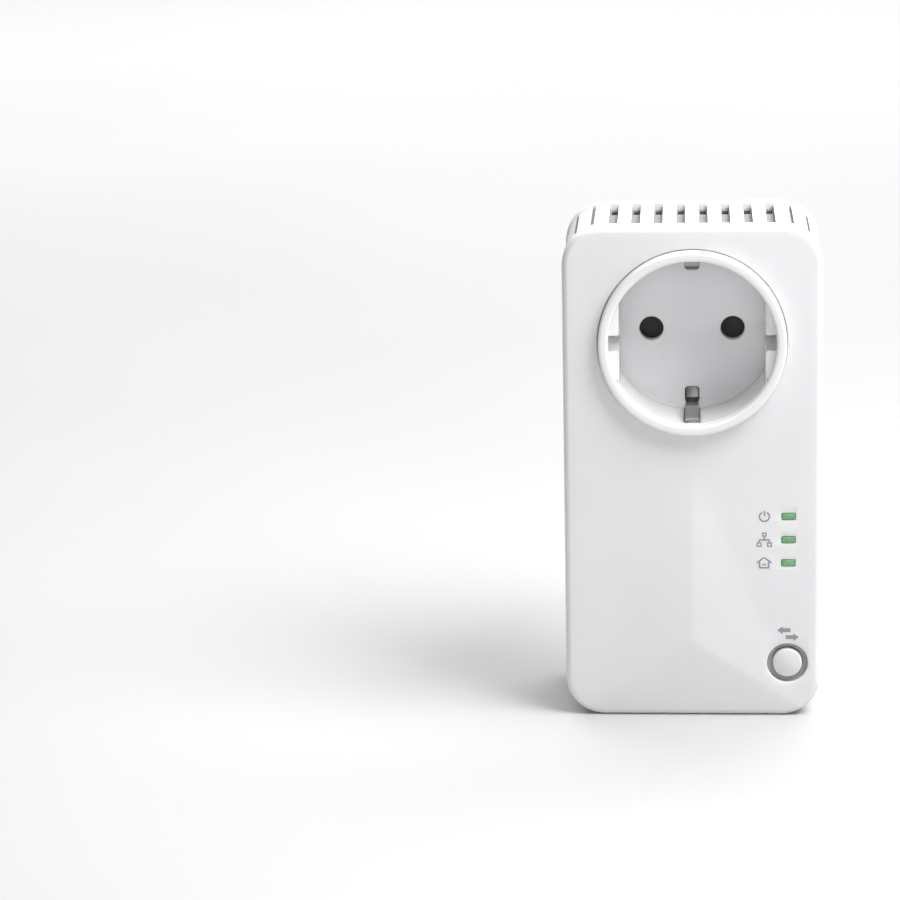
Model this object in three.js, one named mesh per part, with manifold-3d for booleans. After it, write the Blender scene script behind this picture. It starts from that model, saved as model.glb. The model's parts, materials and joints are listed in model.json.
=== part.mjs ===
// Powerline adapter with a pass-through mains socket: an assembly of separate shells, contacts, boards and
// moving pieces. Millimetres. +Z is up, the front looks along -Y, and the plug pins point along +Y into the
// wall. The origin is the centre of the plug nose's end face, between the two pins.

import * as THREE from 'three';
import Module from 'manifold-3d';
import { ConvexGeometry } from 'three/addons/geometries/ConvexGeometry.js';
import { mergeVertices } from 'three/addons/utils/BufferGeometryUtils.js';

const wasm = await Module();
wasm.setup();

// ---------------------------------------------------------------------------------------------------------
// Driving dimensions
// ---------------------------------------------------------------------------------------------------------

const gap = 0.3;                 // clearance kept between neighbouring pieces
const reach = 2;                 // how far a cutter runs past the face that it opens
const weld = 0.1;                // how far two solids of one piece run into each other

const body = { width: 59.8, height: 117.8, depth: 33, corner: 9.2, aboveSocket: 5.5, edge: 0.7 };
const nose = { length: 19, radius: 18.5, wall: 2.9, endWall: 3, edge: 0.8 };
const frontCover = { lip: 4.4, plate: 2, wall: 2 };
const rearCover = { lip: 3.4, plate: 2.6, wall: 2 };
const tongue = { thickness: 1, length: 2, root: 1.2 };
const roof = { height: 1.4, apexRise: 19.1, startRise: 60.6, footInset: 1.2, footSide: 4.4, sunk: 0.5 };

const band = { inset: 0.4, wall: 2 };
const slot = { pitch: 5.19, width: 1.5, channel: 2, channelDepth: 0.8, frontMargin: 2.6, rearMargin: 3.6,
  topDepth: 1.4, topOpening: 4.2, topRearMargin: 1.2 };
const groove = { width: 0.8, angles: [15, 45, 75] };
const boss = { radius: 3.2, bite: 0.6, length: 12 };

const socket = {
  ringRadius: 21.7, recessRadius: 19.4, proud: 2.4, recess: 17.5, floor: 2, edge: 0.6,
  guideX: 16.85, guideHalf: 10.2, guideGroove: 4.4, guideSetback: 2,
};
const pin = { spacing: 19, radius: 2.4, length: 19, collarRadius: 3.6, collar: 1.5, tailRadius: 1.6 };
const pinHole = { radius: 2.8 };
const sleeve = { outer: 3.2, inner: 2.3, length: 14.7, endWall: 1 };
const busbar = { width: 4, top: 3, overlap: 4 };
const carrier = { width: 32, height: 16, thickness: 2, behindSleeveFront: 3 };

const shutter = { thickness: 2, padWidth: 7.4, padHeight: 6.6, bridge: 3.2, travel: 6.2, rail: 1.2 };
const spring = { radius: 0.8, wire: 0.2, turns: 5, length: 9.8, seat: 1 };

const clip = { width: 3.2, thickness: 0.6, rootZ: 18.3, bulgeZ: 16.5, length: 13.5, grooveDepth: 1.4,
  lean: 0.3, bendAt: 0.25, bulgeAt: 0.6, slotInside: 2 };
const earth = { strap: 0.8, crossbarBack: 3.2, legZ: 13.4 };
const noseContact = { width: 5.6, thickness: 0.8, length: 12, recess: 1.9, inset: 1 };
const noseGuide = { width: 5.2, depth: 2 };

const button = { fromSide: 7.65, rise: 13.1, radius: 3.5, well: 4.75, wellDepth: 1.2, proud: 0.5, dome: 0.5,
  flange: 0.8, flangeRim: 0.8, stemRadius: 1.5, stem: 3, travel: 0.5 };
const tact = { size: 6, height: 3.5, plunger: 1.7, plungerLength: 2.2, plungerOut: 1.2 };

const windows = { fromSide: 7.6, firstRise: 49, pitch: 5.65, width: 3.1, height: 1.55, clearance: 0.2,
  flange: 0.8, rim: 0.5, proud: 0.1 };
const ledChip = { width: 2, height: 1.25, depth: 1 };
const ledBoard = { inside: 7.6, thickness: 1.2, above: 4, below: 6 };
const link = { width: 2.5, length: 10, inset: 0.6, aboveButton: 2 };

const panel = { besideCorner: 2.2, frontStrip: 2.5, rearStrip: 1.3, flange: 0.8, flangeSide: 1.5,
  flangeFront: 0.5 };
const jack = { x: -5.5, width: 15, depth: 14.7, fromBack: 7.5, length: 21, setback: 0.2,
  mouthWidth: 11.9, mouthDepth: 7.6, mouthLength: 16, latchWidth: 6.2, latchDepth: 1.6, notchWidth: 3.4,
  notchDepth: 1.4, roofWall: 2.6 };
const comb = { wires: 8, pitch: 1.02, wire: 0.5, length: 9, rise: 1.4, base: 1.5, bite: 0.2 };

const board = { thickness: 1.6, sideGap: 0.5, belowSocket: 4.2 };

// Parts on the main board. Each is placed in from the board's left edge, down from its top edge, or up or
// down from the top of the jack.
const bulkCapacitor = { inside: 13, drop: 8, radius: 6.2, length: 20 };
const lineFilter = { x: 9.3, width: 16, height: 12, depth: 8 };
const fuse = { radius: 1.8, length: 7 };
const transformer = { inside: 12, rise: 19.5, width: 18, height: 15, depth: 15, leg: 4, flangeOut: 2,
  halfGap: 0.5, windowGap: 0.4 };
const choke = { ringRadius: 3.6, radius: 1.8 };
const varistor = { radius: 4.5, thickness: 3.4, inside: 5 };
const chip = { besideJack: 13.5, rise: 10.5, width: 10, thickness: 1.2, finHeight: 4.5, fin: 1.2, fins: 4,
  base: 1.2 };
const lanTransformer = { rise: 5, width: 12.5, height: 7, depth: 5 };
const couplingTransformer = { drop: 3.5, width: 9, height: 9, depth: 8 };
const outputCapacitor = { inside: 5, rises: [4, -5], radius: 4, depth: 11 };
const crystal = { besideChip: 0.5, rise: 8, width: 8, height: 4, depth: 3 };
const sheet = { thickness: 0.5, aboveBottom: 1, belowTop: 5 };

const screw = { headRadius: 2.5, head: 1.3, headEdge: 0.5, sunk: 1.5, shankRadius: 1.2, shank: 9,
  slotInset: 1, slotWidth: 0.7, slotDepth: 0.6 };

const roundSides = 40;
const wellSides = 24;
const smallSides = 16;
const cornerSides = 6;

// ---------------------------------------------------------------------------------------------------------
// Places that follow from the driving dimensions
// ---------------------------------------------------------------------------------------------------------

const backY = -nose.length;
const faceY = backY - body.depth;
const ringY = faceY - socket.proud;
const frontRimY = faceY + frontCover.lip;
const rearRimY = backY - rearCover.lip;
const topZ = socket.ringRadius + body.aboveSocket;
const bottomZ = topZ - body.height;
const centreZ = (topZ + bottomZ) / 2;
const bandInner = band.inset + band.wall;
const tongueOuter = bandInner + gap;
const tongueInner = tongueOuter + tongue.thickness;
const bandFrontY = frontRimY + gap;
const bandRearY = rearRimY - gap;
const floorY = ringY + socket.recess;
const floorBackY = floorY + socket.floor;
const shutterY = floorBackY + gap;
const sleeveFrontY = shutterY + shutter.thickness + gap;
const sleeveRearY = sleeveFrontY + sleeve.length;
const crossbarY = floorBackY + earth.crossbarBack;
const pinXs = [-pin.spacing / 2, pin.spacing / 2];
const platePlaneZ = bottomZ + band.inset;
const panelFrontY = bandFrontY + panel.frontStrip;
const panelRearY = bandRearY - panel.rearStrip;
const flangeRearY = rearRimY - tongue.length - gap;
const jackHoleY = [backY - jack.fromBack - jack.depth, backY - jack.fromBack];
const jackRearY = jackHoleY[1] - gap;
const boardFrontY = jackHoleY[1];
const boardRearY = boardFrontY + board.thickness;
const cornerX = body.width / 2 - body.corner;
const cornerZ = body.height / 2 - body.corner;
const panelHalf = cornerX - panel.besideCorner;
const bossShift = (body.corner - bandInner - boss.radius + boss.bite) / Math.SQRT2;
const bossPlaces = [-1, 1].flatMap((sx) => [-1, 1].map((sz) => ({
  x: sx * (cornerX + bossShift),
  z: centreZ + sz * (cornerZ + bossShift),
})));
const rearPlateY = backY - rearCover.plate;
const noseInner = nose.radius - nose.wall;
const buttonX = body.width / 2 - button.fromSide;
const buttonZ = bottomZ + button.rise;
const buttonFlangeY = faceY + frontCover.plate + gap;
const stemEndY = buttonFlangeY + button.flange + button.stem;
const plungerY = stemEndY + gap;
const tactFrontY = plungerY + tact.plungerOut;
const ledBoardY = tactFrontY + tact.height + gap;
const windowX = body.width / 2 - windows.fromSide;
const windowZs = [0, 1, 2].map((i) => bottomZ + windows.firstRise - i * windows.pitch);
const boardTopZ = -socket.ringRadius - board.belowSocket;
const boardBottomZ = bottomZ + bandInner + gap + panel.flange + gap;

// ---------------------------------------------------------------------------------------------------------
// Solids: three.js geometries turned into manifold solids, so that they can be joined and cut
// ---------------------------------------------------------------------------------------------------------

function solidOf(geometry) {
  const plain = geometry.index ? geometry.toNonIndexed() : geometry.clone();
  plain.deleteAttribute('normal');
  plain.deleteAttribute('uv');
  const merged = mergeVertices(plain, 1e-4);
  const corners = Array.from(merged.index.array);
  const triangles = [];
  for (let i = 0; i < corners.length; i += 3) {
    const [a, b, c] = corners.slice(i, i + 3);
    if (a !== b && b !== c && c !== a) triangles.push(a, b, c);
  }
  return new wasm.Manifold(new wasm.Mesh({
    numProp: 3,
    vertProperties: Float32Array.from(merged.attributes.position.array),
    triVerts: Uint32Array.from(triangles),
  }));
}

function join(solids) {
  return solids.reduce((sum, solid) => sum.add(solid));
}

function cut(solid, cutters) {
  return cutters.reduce((rest, cutter) => rest.subtract(cutter), solid);
}

// A block between two values on each axis.
function block([x0, x1], [y0, y1], [z0, z1]) {
  const geometry = new THREE.BoxGeometry(x1 - x0, y1 - y0, z1 - z0);
  geometry.translate((x0 + x1) / 2, (y0 + y1) / 2, (z0 + z1) / 2);
  return solidOf(geometry);
}

// A round bar along Y.
function rod(radius, [y0, y1], x = 0, z = 0, sides = smallSides) {
  const geometry = new THREE.CylinderGeometry(radius, radius, y1 - y0, sides);
  geometry.translate(x, (y0 + y1) / 2, z);
  return solidOf(geometry);
}

// A flat outline drawn in X and Z, made solid between two values of Y.
function prism(shape, [y0, y1], bevel = 0) {
  const geometry = new THREE.ExtrudeGeometry(shape, {
    depth: y1 - y0 - 2 * bevel,
    bevelEnabled: bevel > 0,
    bevelSize: bevel,
    bevelThickness: bevel,
    bevelOffset: -bevel,
    bevelSegments: 1,
    curveSegments: cornerSides,
  });
  geometry.rotateX(Math.PI / 2);
  geometry.translate(0, y1 - bevel, 0);
  return solidOf(geometry);
}

// A strip bent in the Y-Z plane: its side outline is made solid between two values of X.
function bentStrip(points, [x0, x1]) {
  const shape = new THREE.Shape(points.map(([y, z]) => new THREE.Vector2(y, z)));
  const geometry = new THREE.ExtrudeGeometry(shape, { depth: x1 - x0, bevelEnabled: false });
  geometry.applyMatrix4(new THREE.Matrix4().set(0, 0, 1, x0, 1, 0, 0, 0, 0, 1, 0, 0, 0, 0, 0, 1));
  return solidOf(geometry);
}

// A body turned about the Y axis: the profile lists radius and Y, counter-clockwise.
function turned(profile, sides = roundSides) {
  const points = [...profile, profile[0]].map(([r, y]) => new THREE.Vector2(r, y));
  return solidOf(new THREE.LatheGeometry(points, sides));
}

// The rounded outline of the body, moved inwards by an offset.
function outline(offset) {
  const halfWidth = body.width / 2 - offset;
  const halfHeight = body.height / 2 - offset;
  const r = Math.max(body.corner - offset, 0.5);
  const shape = new THREE.Shape();
  shape.moveTo(-halfWidth + r, centreZ - halfHeight);
  shape.lineTo(halfWidth - r, centreZ - halfHeight);
  shape.absarc(halfWidth - r, centreZ - halfHeight + r, r, -Math.PI / 2, 0);
  shape.absarc(halfWidth - r, centreZ + halfHeight - r, r, 0, Math.PI / 2);
  shape.absarc(-halfWidth + r, centreZ + halfHeight - r, r, Math.PI / 2, Math.PI);
  shape.absarc(-halfWidth + r, centreZ - halfHeight + r, r, Math.PI, Math.PI * 1.5);
  return shape;
}

// A ring between two offsets of the body's outline.
function outlineRing(outer, inner, [y0, y1]) {
  return prism(outline(outer), [y0, y1]).subtract(prism(outline(inner), [y0 - reach, y1 + reach]));
}

function mirroredX(solid) {
  return solid.mirror([1, 0, 0]);
}

function mirroredZ(solid) {
  return solid.mirror([0, 0, 1]);
}

// ---------------------------------------------------------------------------------------------------------
// Shells
// ---------------------------------------------------------------------------------------------------------

// The low hipped crown of the front face: a ridge rises towards an apex and falls to the bottom corners.
function crown() {
  const half = body.width / 2 - roof.footInset;
  const foot = bottomZ + roof.footInset;
  const start = bottomZ + roof.startRise;
  const ground = [
    [-half, start],
    [half, start],
    [half, foot + body.corner],
    [half - roof.footSide, foot],
    [-half + roof.footSide, foot],
    [-half, foot + body.corner],
  ];
  const points = ground.flatMap(([x, z]) => [
    new THREE.Vector3(x, faceY, z),
    new THREE.Vector3(x, faceY + roof.sunk, z),
  ]);
  points.push(new THREE.Vector3(0, faceY - roof.height, bottomZ + roof.apexRise));
  return solidOf(new ConvexGeometry(points));
}

function tongueRing(rimY, direction) {
  const root = rimY - direction * tongue.root;
  const tip = rimY + direction * tongue.length;
  const sorted = (a, b) => [Math.min(a, b), Math.max(a, b)];
  return outlineRing(frontCover.wall - weld, tongueInner, sorted(root, rimY))
    .add(outlineRing(tongueOuter, tongueInner, sorted(root, tip)));
}

function windowCutters() {
  const halfWidth = windows.width / 2 + windows.clearance;
  const halfHeight = windows.height / 2 + windows.clearance;
  return windowZs.map((z) => block(
    [windowX - halfWidth, windowX + halfWidth],
    [faceY - reach, faceY + frontCover.plate + reach],
    [z - halfHeight, z + halfHeight],
  ));
}

function frontCoverSolid() {
  const innerY = faceY + frontCover.plate;
  const flangeHole = button.radius + button.flangeRim + gap;
  const shell = prism(outline(0), [faceY, frontRimY + body.edge], body.edge)
    .subtract(prism(outline(-reach), [frontRimY, frontRimY + reach]))
    .subtract(prism(outline(frontCover.wall), [innerY, frontRimY + reach]));
  return cut(join([shell, crown(), tongueRing(frontRimY, 1)]), [
    rod(socket.ringRadius + gap, [faceY - reach, frontRimY + reach + tongue.length], 0, 0, roundSides),
    rod(button.well, [faceY - reach, faceY + button.wellDepth], buttonX, buttonZ, wellSides),
    rod(button.radius + gap, [faceY, innerY + reach], buttonX, buttonZ, wellSides),
    rod(flangeHole, [innerY, frontRimY + reach + tongue.length], buttonX, buttonZ, wellSides),
    ...windowCutters(),
  ]);
}

// Evenly spaced positions of the vent slots along one straight side, about its middle.
function slotPlaces(run, middle) {
  const count = Math.round(run / slot.pitch);
  return Array.from({ length: count }, (_, i) => middle + (i - (count - 1) / 2) * slot.pitch);
}

function sideVents() {
  const outerX = body.width / 2 - band.inset;
  const channelX = outerX - slot.channelDepth;
  const openY = [bandFrontY + slot.frontMargin, bandRearY - slot.rearMargin];
  return slotPlaces(2 * cornerZ, centreZ).flatMap((z) => {
    const channelZ = [z - slot.channel / 2, z + slot.channel / 2];
    const channelY = [bandFrontY - reach, bandRearY + reach];
    return [
      block([channelX, outerX + reach], channelY, channelZ),
      block([-outerX - reach, -channelX], channelY, channelZ),
      block([-outerX - reach, outerX + reach], openY, [z - slot.width / 2, z + slot.width / 2]),
    ];
  });
}

// On the top wall the channels are deep, and each opens through the wall only near its rear end.
function topVents() {
  const outerZ = topZ - band.inset;
  const channelY = [bandFrontY - reach, bandRearY + reach];
  const openRearY = bandRearY - slot.topRearMargin;
  return slotPlaces(2 * cornerX, 0).flatMap((x) => [
    block([x - slot.channel / 2, x + slot.channel / 2], channelY, [outerZ - slot.topDepth, outerZ + reach]),
    block([x - slot.width / 2, x + slot.width / 2], [openRearY - slot.topOpening, openRearY],
      [outerZ - band.wall - reach, outerZ + reach]),
  ]);
}

// Short slots in the strips of the bottom wall in front of and behind the port panel.
function bottomVents() {
  const channelY = [bandFrontY - reach, bandRearY + reach];
  const openY = [bandFrontY + 2 * gap, panelFrontY + reach];
  return slotPlaces(2 * cornerX, 0).flatMap((x) => [
    block([x - slot.channel / 2, x + slot.channel / 2], channelY,
      [platePlaneZ - reach, platePlaneZ + slot.channelDepth]),
    block([x - slot.width / 2, x + slot.width / 2], openY,
      [platePlaneZ - reach, platePlaneZ + band.wall + gap]),
  ]);
}

// Narrow grooves that part the slats on the four rounded corners.
function cornerGrooves() {
  const outer = body.corner - band.inset;
  const cutters = [];
  for (const sx of [-1, 1]) {
    for (const sz of [-1, 1]) {
      for (const angle of groove.angles) {
        const geometry = new THREE.BoxGeometry(slot.channelDepth + reach, body.depth, groove.width);
        geometry.translate(outer + (reach - slot.channelDepth) / 2, (faceY + backY) / 2, 0);
        geometry.rotateY(-THREE.MathUtils.degToRad(angle));
        const cutter = solidOf(geometry);
        const turnedCutter = sx < 0 ? mirroredX(cutter) : cutter;
        const placed = sz < 0 ? mirroredZ(turnedCutter) : turnedCutter;
        cutters.push(placed.translate([sx * cornerX, 0, centreZ + sz * cornerZ]));
      }
    }
  }
  return cutters;
}

function panelBlock(spare, [z0, z1]) {
  return block(
    [-panelHalf - spare, panelHalf + spare],
    [panelFrontY - spare, panelRearY + spare],
    [z0, z1],
  );
}

function ventFrameSolid() {
  const shell = outlineRing(band.inset, bandInner, [bandFrontY, bandRearY]);
  const bossEnd = rearPlateY - gap;
  const bosses = bossPlaces.map(({ x, z }) => rod(boss.radius, [bossEnd - boss.length, bossEnd], x, z));
  const bores = bossPlaces.map(({ x, z }) => (
    rod(screw.shankRadius + gap, [bossEnd - boss.length + reach, bossEnd + reach], x, z, 12)
  ));
  return cut(join([shell, ...bosses]), [
    ...bores,
    join(sideVents()),
    join(topVents()),
    join(bottomVents()),
    join(cornerGrooves()),
    panelBlock(gap, [bottomZ - reach, bottomZ + bandInner + gap]),
  ]);
}

function jackHole() {
  return block(
    [jack.x - jack.width / 2, jack.x + jack.width / 2],
    jackHoleY,
    [bottomZ - reach, bottomZ + bandInner + panel.flange + reach],
  );
}

function portPanelSolid() {
  const innerZ = bottomZ + bandInner + gap;
  const flange = block(
    [-panelHalf - panel.flangeSide, panelHalf + panel.flangeSide],
    [panelFrontY - panel.flangeFront, flangeRearY],
    [innerZ, innerZ + panel.flange],
  );
  const plate = block(
    [-panelHalf, panelHalf],
    [panelFrontY, flangeRearY],
    [platePlaneZ, innerZ + panel.flange],
  );
  const skin = panelBlock(0, [platePlaneZ, platePlaneZ + band.wall]);
  return cut(join([plate, skin, flange]), [jackHole()]);
}

function noseSolid() {
  const shell = turned([
    [noseInner, rearPlateY],
    [nose.radius, rearPlateY],
    [nose.radius, -nose.edge],
    [nose.radius - nose.edge, 0],
    [0.001, 0],
    [0.001, -nose.endWall],
    [noseInner, -nose.endWall],
  ]);
  return shell.add(rod(1, [-nose.endWall, 0]));
}

function noseCutters() {
  const guideX = nose.radius - noseGuide.depth;
  const contactZ = nose.radius - noseContact.recess;
  const halfContact = noseContact.width / 2 + gap;
  const guideZ = [-noseGuide.width / 2, noseGuide.width / 2];
  const guide = block([guideX, nose.radius + reach], [backY, reach], guideZ);
  const contactY = -noseContact.inset - noseContact.length;
  const recess = block([-halfContact, halfContact], [contactY - gap, reach], [contactZ, nose.radius + reach]);
  const tabSlot = block(
    [-halfContact, halfContact],
    [contactY - gap, contactY + noseContact.thickness + gap],
    [noseInner - reach, nose.radius],
  );
  return [
    guide, mirroredX(guide), recess, mirroredZ(recess), tabSlot, mirroredZ(tabSlot),
    ...pinXs.map((x) => rod(pin.radius + gap, [-nose.endWall - reach, reach], x, 0, 24)),
  ];
}

function rearCoverSolid() {
  const shell = prism(outline(0), [rearRimY - body.edge, backY], body.edge)
    .subtract(prism(outline(-reach), [rearRimY - reach, rearRimY]))
    .subtract(prism(outline(rearCover.wall), [rearRimY - reach, rearPlateY]));
  const bossY = [rearRimY - 2 * reach, rearPlateY];
  const clearBoss = bossPlaces.map(({ x, z }) => rod(boss.radius + gap, bossY, x, z));
  const screwHoles = bossPlaces.flatMap(({ x, z }) => [
    rod(screw.shankRadius + gap, [rearPlateY - reach, backY + reach], x, z, 12),
    rod(screw.headRadius + gap, [backY - screw.sunk, backY + reach], x, z),
  ]);
  const opened = cut(join([shell, tongueRing(rearRimY, -1)]), [
    ...clearBoss,
    rod(noseInner, [rearPlateY - reach, backY + reach], 0, 0, roundSides),
  ]);
  return cut(opened.add(noseSolid()), [...screwHoles, ...noseCutters()]);
}

// ---------------------------------------------------------------------------------------------------------
// Socket, plug and earth
// ---------------------------------------------------------------------------------------------------------

function socketCup() {
  const { ringRadius: outer, recessRadius: inner, edge } = socket;
  return turned([
    [inner, floorY - edge],
    [inner, ringY + edge],
    [inner + edge, ringY],
    [outer - edge, ringY],
    [outer, ringY + edge],
    [outer, floorBackY],
    [inner - edge, floorBackY],
    [inner - edge, floorY - edge],
  ]);
}

function socketGuides() {
  const outer = socket.recessRadius + socket.edge / 2;
  const disc = rod(outer, [ringY + socket.guideSetback, floorY], 0, 0, roundSides);
  const middle = block([-socket.guideX, socket.guideX], [ringY, floorBackY], [-outer, outer]);
  const above = block([-outer, outer], [ringY, floorBackY], [socket.guideHalf, outer + reach]);
  const grooveHalf = socket.guideGroove / 2;
  const grooveCut = block([-outer - reach, outer + reach], [ringY, floorY - gap], [-grooveHalf, grooveHalf]);
  return cut(disc, [middle, above, mirroredZ(above), grooveCut]);
}

function clipSlots() {
  const half = clip.width / 2 + gap;
  const deep = socket.recessRadius + clip.grooveDepth;
  const slotY = [floorY - reach, floorBackY + reach];
  const grooveY = [floorY - clip.length - 2 * gap, floorY + gap];
  const floorSlot = block([-half, half], slotY, [clip.bulgeZ - clip.slotInside, deep]);
  const wallGroove = block([-half, half], grooveY, [clip.bulgeZ, deep]);
  return [floorSlot, mirroredZ(floorSlot), wallGroove, mirroredZ(wallGroove)];
}

function shutterGuides() {
  const railX = shutterHalfWidth() + gap;
  const low = -shutter.padHeight / 2 - shutter.travel;
  const rail = block([railX, railX + shutter.rail], [floorBackY - gap, floorBackY + shutter.thickness],
    [low, shutter.padHeight / 2]);
  const seatZ = -shutter.padHeight / 2 - spring.length - 2 * gap;
  const seatY = [floorBackY - gap, floorBackY + shutter.thickness];
  const seat = block([-2, 2], seatY, [seatZ - spring.seat, seatZ]);
  return [rail, mirroredX(rail), seat];
}

function socketInsertSolid() {
  const floor = rod(socket.recessRadius, [floorY, floorBackY], 0, 0, roundSides);
  return cut(join([socketCup(), floor, socketGuides(), ...shutterGuides()]), [
    ...pinXs.map((x) => rod(pinHole.radius, [floorY - reach, floorBackY + reach], x, 0, 24)),
    ...clipSlots(),
  ]);
}

function shutterHalfWidth() {
  return pin.spacing / 2 + shutter.padWidth / 2;
}

function shutterSolid() {
  const yRange = [shutterY, shutterY + shutter.thickness];
  const padZ = [-shutter.padHeight / 2, shutter.padHeight / 2];
  const pads = pinXs.map((x) => block([x - shutter.padWidth / 2, x + shutter.padWidth / 2], yRange, padZ));
  const padBottom = -shutter.padHeight / 2;
  const bridge = block(pinXs, yRange, [padBottom, padBottom + shutter.bridge]);
  return join([...pads, bridge]);
}

// The return spring under the shutter: a wire wound down from the bridge to its seat.
function shutterSpringSolid() {
  const start = -shutter.padHeight / 2 - gap;
  const stepsPerTurn = 6;
  const steps = spring.turns * stepsPerTurn;
  const wirePoints = Array.from({ length: steps + 1 }, (_, i) => {
    const angle = (i / stepsPerTurn) * 2 * Math.PI;
    const drop = (i / steps) * (spring.length - 2 * spring.wire);
    return new THREE.Vector3(
      spring.radius * Math.cos(angle),
      shutterY + shutter.thickness / 2 + spring.radius * Math.sin(angle),
      start - spring.wire - drop,
    );
  });
  const section = new THREE.Shape();
  section.absarc(0, 0, spring.wire, 0, 2 * Math.PI);
  const path = new THREE.CatmullRomCurve3(wirePoints);
  return solidOf(new THREE.ExtrudeGeometry(section, { steps, curveSegments: 3, extrudePath: path }));
}

function sleeveSolid(x) {
  return rod(sleeve.outer, [sleeveFrontY, sleeveRearY], x).subtract(
    rod(sleeve.inner, [sleeveFrontY - reach, sleeveRearY - sleeve.endWall], x),
  );
}

function contactCarrierSolid() {
  const y0 = sleeveFrontY + carrier.behindSleeveFront;
  const plate = block([-carrier.width / 2, carrier.width / 2], [y0, y0 + carrier.thickness],
    [-carrier.height / 2, carrier.height / 2]);
  const holeY = [y0 - reach, y0 + carrier.thickness + reach];
  return cut(plate, pinXs.map((x) => rod(sleeve.outer + gap, holeY, x)));
}

function plugPinSolid(x) {
  const { radius, length, collarRadius, collar, tailRadius } = pin;
  const tailY = sleeveRearY + gap;
  const collarY = -nose.endWall - gap;
  const tip = [0, 30, 60].map((degrees) => {
    const a = THREE.MathUtils.degToRad(degrees);
    return [radius * Math.cos(a), length - radius / 2 + (radius / 2) * Math.sin(a)];
  });
  const profile = [
    [0, tailY], [tailRadius, tailY], [tailRadius, collarY - collar], [collarRadius, collarY - collar],
    [collarRadius, collarY], [radius, collarY], ...tip, [0, length],
  ];
  return turned(profile, 20).translate([x, 0, 0]);
}

// A strap from the rear of a contact sleeve, past the pin's tail, to the top edge of the main board.
function busbarSolid(x) {
  const t = earth.strap;
  const y = sleeveRearY + gap;
  const stepZ = 2 * gap + t - Math.sqrt(noseInner ** 2 - (pin.spacing / 2 + busbar.width / 2) ** 2);
  const downY = boardRearY + gap;
  const endZ = boardTopZ - busbar.overlap;
  const strip = bentStrip([
    [y, busbar.top], [y, stepZ], [downY, stepZ], [downY, endZ], [downY + t, endZ], [downY + t, stepZ - t],
    [y + t, stepZ - t], [y + t, busbar.top],
  ], [x - busbar.width / 2, x + busbar.width / 2]);
  return strip.subtract(rod(pin.tailRadius + gap, [y - reach, y + t + reach], x));
}

// One U-shaped strap joins both socket clips and reaches back to both earth contacts of the plug.
function earthBracketSolid() {
  const half = clip.width / 2;
  const t = earth.strap;
  const rootOuter = clip.rootZ + clip.thickness / 2;
  const rootInner = clip.rootZ - clip.thickness / 2;
  const legEnd = -noseContact.inset - noseContact.length - gap;
  const crossbar = block([-half, half], [crossbarY, crossbarY + t], [-rootOuter, rootOuter]);
  const root = block([-half, half], [floorY + gap / 2, crossbarY + t], [rootInner, rootOuter]);
  const leg = block([-half, half], [crossbarY, legEnd], [earth.legZ - t / 2, earth.legZ + t / 2]);
  return join([crossbar, root, mirroredZ(root), leg, mirroredZ(leg)]);
}

// The spring finger of a socket clip, bulging towards the axis of the socket.
function clipFingerSolid(side) {
  const t = clip.thickness;
  const y0 = floorY - gap / 2;
  const outer = clip.rootZ + t / 2;
  const bulge = clip.bulgeZ + t;
  const centreline = [
    [y0, outer],
    [y0 - clip.bendAt * clip.length, outer - clip.lean],
    [y0 - clip.bulgeAt * clip.length, bulge],
    [y0 - clip.length, outer + clip.lean],
  ];
  const inner = centreline.map(([y, z]) => [y, z - t]).reverse();
  const finger = bentStrip([...centreline, ...inner], [-clip.width / 2, clip.width / 2]);
  return side > 0 ? finger : mirroredZ(finger);
}

function noseContactSolid(side) {
  const { width, thickness, length, inset } = noseContact;
  const floorZ = nose.radius - noseContact.recess + gap;
  const y0 = -inset - length;
  const strip = block([-width / 2, width / 2], [y0, -inset], [floorZ, floorZ + thickness]);
  const tab = block([-width / 2, width / 2], [y0, y0 + thickness],
    [earth.legZ + earth.strap / 2 - thickness, floorZ + thickness]);
  const contact = strip.add(tab);
  return side > 0 ? contact : mirroredZ(contact);
}

// ---------------------------------------------------------------------------------------------------------
// Button, switch, lights
// ---------------------------------------------------------------------------------------------------------

function pairButtonSolid() {
  const { radius, proud, dome, flange, flangeRim, stemRadius } = button;
  const domeSteps = [30, 60];
  const domePoints = domeSteps.map((degrees) => {
    const a = THREE.MathUtils.degToRad(degrees);
    return [radius * Math.cos(a), faceY - proud + dome * (1 - Math.sin(a))];
  }).reverse();
  return turned([
    [0, faceY - proud],
    ...domePoints,
    [radius, faceY - proud + dome],
    [radius, buttonFlangeY],
    [radius + flangeRim, buttonFlangeY],
    [radius + flangeRim, buttonFlangeY + flange],
    [stemRadius, buttonFlangeY + flange],
    [stemRadius, stemEndY],
    [0, stemEndY],
  ], 20).translate([buttonX, 0, buttonZ]);
}

function switchPlungerSolid() {
  return rod(tact.plunger, [plungerY, plungerY + tact.plungerLength], buttonX, buttonZ);
}

function tactSwitchSolid() {
  const half = tact.size / 2;
  const bore = tact.plungerLength - tact.plungerOut + button.travel + gap;
  return block([buttonX - half, buttonX + half], [tactFrontY, tactFrontY + tact.height],
    [buttonZ - half, buttonZ + half]).subtract(
    rod(tact.plunger + gap, [tactFrontY - reach, tactFrontY + bore], buttonX, buttonZ),
  );
}

function lightPipeSolid(z) {
  const halfWidth = windows.width / 2;
  const halfHeight = windows.height / 2;
  const flangeY = faceY + frontCover.plate + gap;
  const rear = ledBoardY - gap - ledChip.depth - gap;
  const bar = block([windowX - halfWidth, windowX + halfWidth], [faceY - windows.proud, rear],
    [z - halfHeight, z + halfHeight]);
  const flange = block([windowX - halfWidth - windows.rim, windowX + halfWidth + windows.rim],
    [flangeY, flangeY + windows.flange], [z - halfHeight - windows.rim, z + halfHeight + windows.rim]);
  return bar.add(flange);
}

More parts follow.
